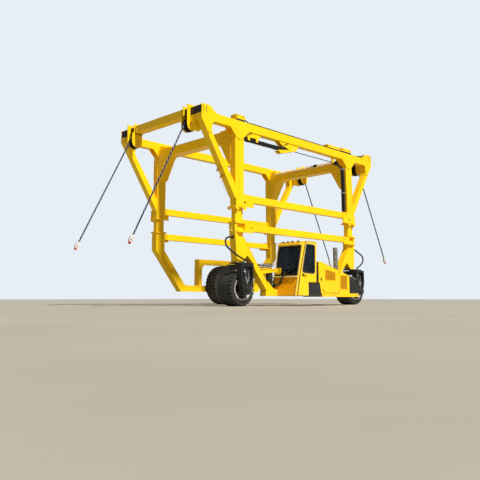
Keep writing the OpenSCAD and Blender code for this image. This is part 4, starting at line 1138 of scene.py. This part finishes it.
# Angular pattern of one tread block: place in the block, and which shoulder is cut back there
BLOCK_RINGS = ((0.05, 0), (0.09, -1), (0.37, -1), (0.41, 0), (0.55, 0), (0.59, 1), (0.87, 1), (0.91, 0))
NOTCH_DEPTH, NOTCH_INSET = 0.026, 0.008
# Each wheel: tread blocks, bead radius, the faces that its bolts sit on, their circle and their number
WHEELS = (("left", 26, 0.340, (0.020, 0.060), 0.250, 12), ("right", 26, 0.340, (0.020, 0.060), 0.250, 12),
          ("far", 34, 0.452, (-0.010, 0.030), 0.320, 14))


def wheel_box(node):
    """The centre of a wheel's node, its radius and half its width."""
    lo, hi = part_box(node)
    return (lo + hi) / 2, (hi.z - lo.z) / 2, (hi.y - lo.y) / 2


def tread_tyre(side, blocks, bead_r):
    """A wide tyre with a smooth tread, notches on both shoulders and ribs on the side walls."""
    node = side + "_tyre"
    centre, r, w = wheel_box(node)
    # half of the section: radius, height from the middle, and 1 where the notches cut
    half = [(r, 0.0, 0), (r, w - 0.165, 0), (r - 0.001, w - 0.110, 0), (r - 0.002, w - 0.105, 1),
            (r - 0.004, w - 0.070, 1), (r - 0.006, w - 0.045, 1), (r - 0.016, w - 0.018, 1), (r - 0.040, w - 0.006, 1),
            (r - 0.052, w - 0.003, 0), (r - 0.062, w - 0.006, 0), (r - 0.068, w - 0.003, 0), (r - 0.100, w, 0),
            (r - 0.108, w - 0.004, 0), (bead_r + 0.060, w - 0.005, 0), (bead_r + 0.040, w - 0.010, 0),
            (bead_r + 0.034, w - 0.007, 0), (bead_r + 0.014, w - 0.018, 0), (bead_r, w - 0.036, 0)]
    profile = [(pr, -ph, -cut) for pr, ph, cut in reversed(half[1:])] + half
    rings = []
    for k, (place, shoulder) in product(range(blocks), BLOCK_RINGS):
        u, v = polar(1.0, 360 * (k + place) / blocks)
        ring = []
        for pr, ph, cut in profile:
            if cut and cut == shoulder:
                pr, ph = pr - NOTCH_DEPTH, ph - NOTCH_INSET * cut
            ring.append(centre + Vector((u * pr, ph, v * pr)))
        rings.append(ring)
    tread = Part()
    tread.add_rings(rings, True, True)
    tyre = show(node + "_tread", side + "_wheel", tread, TYRE, smooth=28)
    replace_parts(tyre, node)


def rim_trim(side, disc_y, bolt_circle, count):
    """Bright rim lips, the bolt ring and the valve of a wheel."""
    name, body = side + "_rim", side + "_wheel"
    centre, r, w = wheel_box(name)
    lips, bolts = parts(2)
    section = ((0.078, -0.050), (0.062, -0.010), (0.040, 0.002), (0.020, 0.003), (0.016, -0.004))
    for way in (-1, 1):
        lips.lathe([(r - dr, way * (w + dw)) for dr, dw in section], centre, Y, 64)
        for u, v in around(bolt_circle, count):
            bolts.bolt(centre + Vector((u, disc_y[way > 0], v)), Y * way, 0.014, 0.020)
    stem = centre + Vector((0.0, -w + 0.03, r - 0.050))
    bolts.tube([stem, stem + Vector((0, 0.03, -0.015))], 0.005, 8)
    show(name + "_lips", body, lips, LIP)
    show(name + "_bolts", body, bolts, DARK)


def fork_trim(side):
    """Flange edges, hub bolts and the silver pipes and elbows in the open web of a fork."""
    name, body = side + "_fork", side + "_steer"
    edges, bolts, pipes, hoses = parts(4)
    top_z, half, face = FOOT_Z - 0.053, 0.240, -0.273

    def at(x, y, z):
        return Vector((KING_X[side] + x, KING_Y + y, z))

    for way in (-1, 1):
        edges.tube([at(way * x, face, z) for x, z in ((half, top_z - 0.04), (half, 0.80), (0.174, 0.53))], 0.008, 8)
        # stiffening rib down the outer face
        edges.block(at(way * 0.205 - 0.008, -0.285, 0.62), at(way * 0.205 + 0.008, -0.272, top_z - 0.05), 0.004)
    edges.tube([at(x, face, top_z - 0.002) for x in (-half - 0.003, half + 0.003)], 0.008, 8)
    web = rounded_outline([(-0.110, 0.985), (-0.025, 0.780), (0.095, 0.985)], 0.028, 5)
    edges.tube([at(x, -0.200, z) for x, z in web], 0.009, 6, closed=True)
    plate = rounded_outline([(-0.150, 0.840), (-0.095, 0.600), (0.095, 0.600), (0.150, 0.840), (0.150, top_z - 0.09),
                             (-0.150, top_z - 0.09)], 0.042, 5)
    edges.tube([at(x, -0.274, z) for x, z in plate], 0.007, 6, closed=True)
    # hub drive: rim, cover and bolts
    hub = at(0, -0.290, 0.50)
    edges.lathe(solid((0.045, 0.022), (0.055, 0.012), (0.088, 0.010), (0.094, 0.000)), hub, -Y, 40)
    for u, v in around(0.104, 10):
        bolts.bolt(hub + X * u + Z * v, -Y, 0.009, 0.009)
    for k in range(5):
        bolts.bolt(at(-0.19 + 0.095 * k, -0.275, top_z - 0.018), -Y, 0.009, 0.008)
    # silver elbows, each with two nuts, and their pipes
    for x, z, up in ((-0.045, 0.745, 0.30), (0.020, 0.700, 0.0), (0.075, 0.760, 0.24)):
        pipes.tube([at(x, -0.205, z - 0.06), at(x, -0.238, z - 0.035), at(x + 0.005, -0.244, z + 0.02),
                    at(x + 0.02, -0.240, z + 0.06)], [0.014, 0.016, 0.014, 0.012], 10)
        for dz in (-0.045, 0.03):
            pipes.lathe(disc(0.021, -0.012, 0.012), at(x + 0.004, -0.240, z + dz), (0.1, 0, 1), 6)
        if up:
            pipes.tube([at(x + 0.02, -0.240, z + 0.05), at(x + 0.005, -0.236, z + up * 0.5),
                        at(x - 0.02, -0.230, z + up)], 0.0075, 8)
    pipes.lathe(union(0.019, 0.022, 0.014, 0.040), at(-0.065, -0.205, 1.045), (0, -1, 0.3), 6)
    pipes.tube([at(0.150, -0.292, 0.380), at(0.158, -0.296, 0.46), at(0.150, -0.292, 0.545)],
               [0.012, 0.017, 0.012], 10)
    pipes.lathe(disc(0.023, -0.014, 0.014), at(0.156, -0.294, 0.50), Z, 6)
    # drain pipes from the elbows to the hub, and the feed from the steering plate
    for r, points in (
            (0.010, ((-0.045, -0.215, 0.70), (-0.050, -0.262, 0.66), (-0.030, -0.290, 0.61), (-0.020, -0.300, 0.585))),
            (0.010, ((0.075, -0.215, 0.71), (0.085, -0.262, 0.66), (0.060, -0.292, 0.60), (0.040, -0.300, 0.575))),
            (0.012, ((-0.08, -0.12, top_z - 0.005), (-0.10, -0.17, top_z - 0.16), (-0.09, -0.215, 0.98),
                     (-0.055, -0.232, 0.82)))):
        hoses.tube([at(*p) for p in points], r, 8)
    show(name + "_edges", body, edges, DARK, "dark_paint")
    show(name + "_bolts", body, bolts, BLACK)
    show(name + "_elbows", body, pipes, BRIGHT)
    show(name + "_hoses", body, hoses, RUBBER)


def hose_loops():
    """The two hose loops in their covers, and silver ferrules where they meet the steering plates."""
    ferrules, sleeve_r = Part(), 0.026
    left = ((0.030, 0.110, 1.960), (0.075, 0.110, 1.960), (0.150, 0.110, 1.956), (0.290, 0.085, 1.905),
            (0.360, 0.045, 1.800), (0.345, 0.010, 1.680), (0.210, -0.035, 1.555), (0.040, -0.070, 1.450),
            (-0.130, -0.080, 1.372), (-0.300, -0.060, 1.322), (-0.400, -0.015, 1.318), (-0.445, 0.060, 1.320),
            (-0.450, 0.115, 1.292), (-0.450, 0.120, 1.241))
    right = ((0.030, 0.120, 1.985), (0.075, 0.120, 1.985), (0.180, 0.118, 1.962), (0.420, 0.110, 1.860),
             (0.640, 0.100, 1.745), (0.700, 0.100, 1.640), (0.660, 0.105, 1.520), (0.500, 0.114, 1.390),
             (0.350, 0.120, 1.318), (0.312, 0.120, 1.285), (0.310, 0.120, 1.241))
    for node, route, sign in (("left_hose", left, -1), ("right_hose", right, 1)):
        sleeve = Part()
        sleeve.tube(smooth_path([Vector((sign * (HALF + x), NEAR_Y + y, z)) for x, y, z in route], 5), sleeve_r, 14)
        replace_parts(show(node + "_sleeve", "chassis", sleeve, RUBBER), node)
        foot = Vector((sign * (HALF + route[-1][0]), NEAR_Y + 0.12, FOOT_Z))
        ferrules.lathe([(0.0266, 0.080), (0.034, 0.076), (0.034, 0.030), (0.042, 0.028), (0.042, 0.004),
                        (0.0266, 0.002)], foot, Z, 12)
        ferrules.lathe(union(0.020, 0.018, 0.014, 0.040), foot + Vector((0.075, -0.02, 0)), Z, 6)
        ferrules.lathe([(AXIS_R, 0.0), (0.017, 0.0), (0.017, 0.018), (AXIS_R, 0.022)],
                       foot + Vector((-0.07, -0.06, 0)), Z, 6)
    show_all("chassis", hose_ferrules=(ferrules, BRIGHT))


# Stage and light


def make_stage():
    mesh = bpy.data.meshes.new("stage_floor")
    mesh.from_pydata([(x * FLOOR_REACH, y * FLOOR_REACH, 0) for x, y in ((-1, -1), (1, -1), (1, 1), (-1, 1))],
                     [], [(0, 1, 2, 3)])
    s = Shader("stage_floor")
    base = s.mix(s.cloud(0.4, 4.0, 0.55, 0.3, 0.7), (0.42, 0.395, 0.345), (0.37, 0.35, 0.305))
    mesh.materials.append(s.finish(Base_Color=base, Roughness=0.85))
    floor = link_object("stage_floor", mesh)


def make_light():
    """A high sun from the cab side, with a soft warm fill and a pale backdrop for the camera."""
    scene = bpy.context.scene
    sun = bpy.data.lights.new("sun", "SUN")
    sun.energy, sun.color, sun.angle = SUN_STRENGTH, SUN_COLOUR, math.radians(SUN_WIDTH)
    link_object("sun", sun).rotation_euler = Vector(SUN_FROM).to_track_quat("Z", "Y").to_euler()
    world = bpy.data.worlds.new("studio")
    world.use_nodes = True
    scene.world = world
    tree = world.node_tree
    tree.nodes.clear()
    path = tree.nodes.new("ShaderNodeLightPath")

    def background(colour, strength=1.0):
        n = tree.nodes.new("ShaderNodeBackground")
        n.inputs["Color"].default_value = (*colour, 1)
        n.inputs["Strength"].default_value = strength
        return n

    def switch(ray, other, chosen):
        """Uses the chosen colour for one kind of ray, and the other for the rest."""
        n = tree.nodes.new("ShaderNodeMixShader")
        for socket, source in zip(n.inputs, (path.outputs[ray], other.outputs[0], chosen.outputs[0])):
            tree.links.new(source, socket)
        return n

    mirrored = switch("Is Glossy Ray", background(FILL_COLOUR, FILL_STRENGTH), background(REFLECTED))
    out = tree.nodes.new("ShaderNodeOutputWorld")
    tree.links.new(switch("Is Camera Ray", mirrored, background(BACKDROP)).outputs[0], out.inputs["Surface"])
    scene.view_settings.view_transform = "Standard"


make_camera()
dress_nodes()
for make in (lifting_chains, tip_bolts, frame_welds, sheave_fittings, chain_beam_clamps, tie_fittings, collar_lips,
             knee_marks, top_valves, strip_clamps, hoist_fittings, leg_pipes, strut_lugs,
             cab_front_trim, cab_base_panel, cab_roof, cab_door_trim, cab_seams, cab_inside, hood_trim,
             end_panel_trim, exhaust, foot_fittings, foot_gusset, shelf_fittings, far_side_fittings):
    make()
for fork in KING_X:
    fork_trim(fork)
hose_loops()
for wheel, blocks, bead, *_ in WHEELS:
    tread_tyre(wheel, blocks, bead)
for wheel, _, _, *bolting in WHEELS:
    rim_trim(wheel, *bolting)
make_stage()
make_light()

bpy.context.view_layer.update()
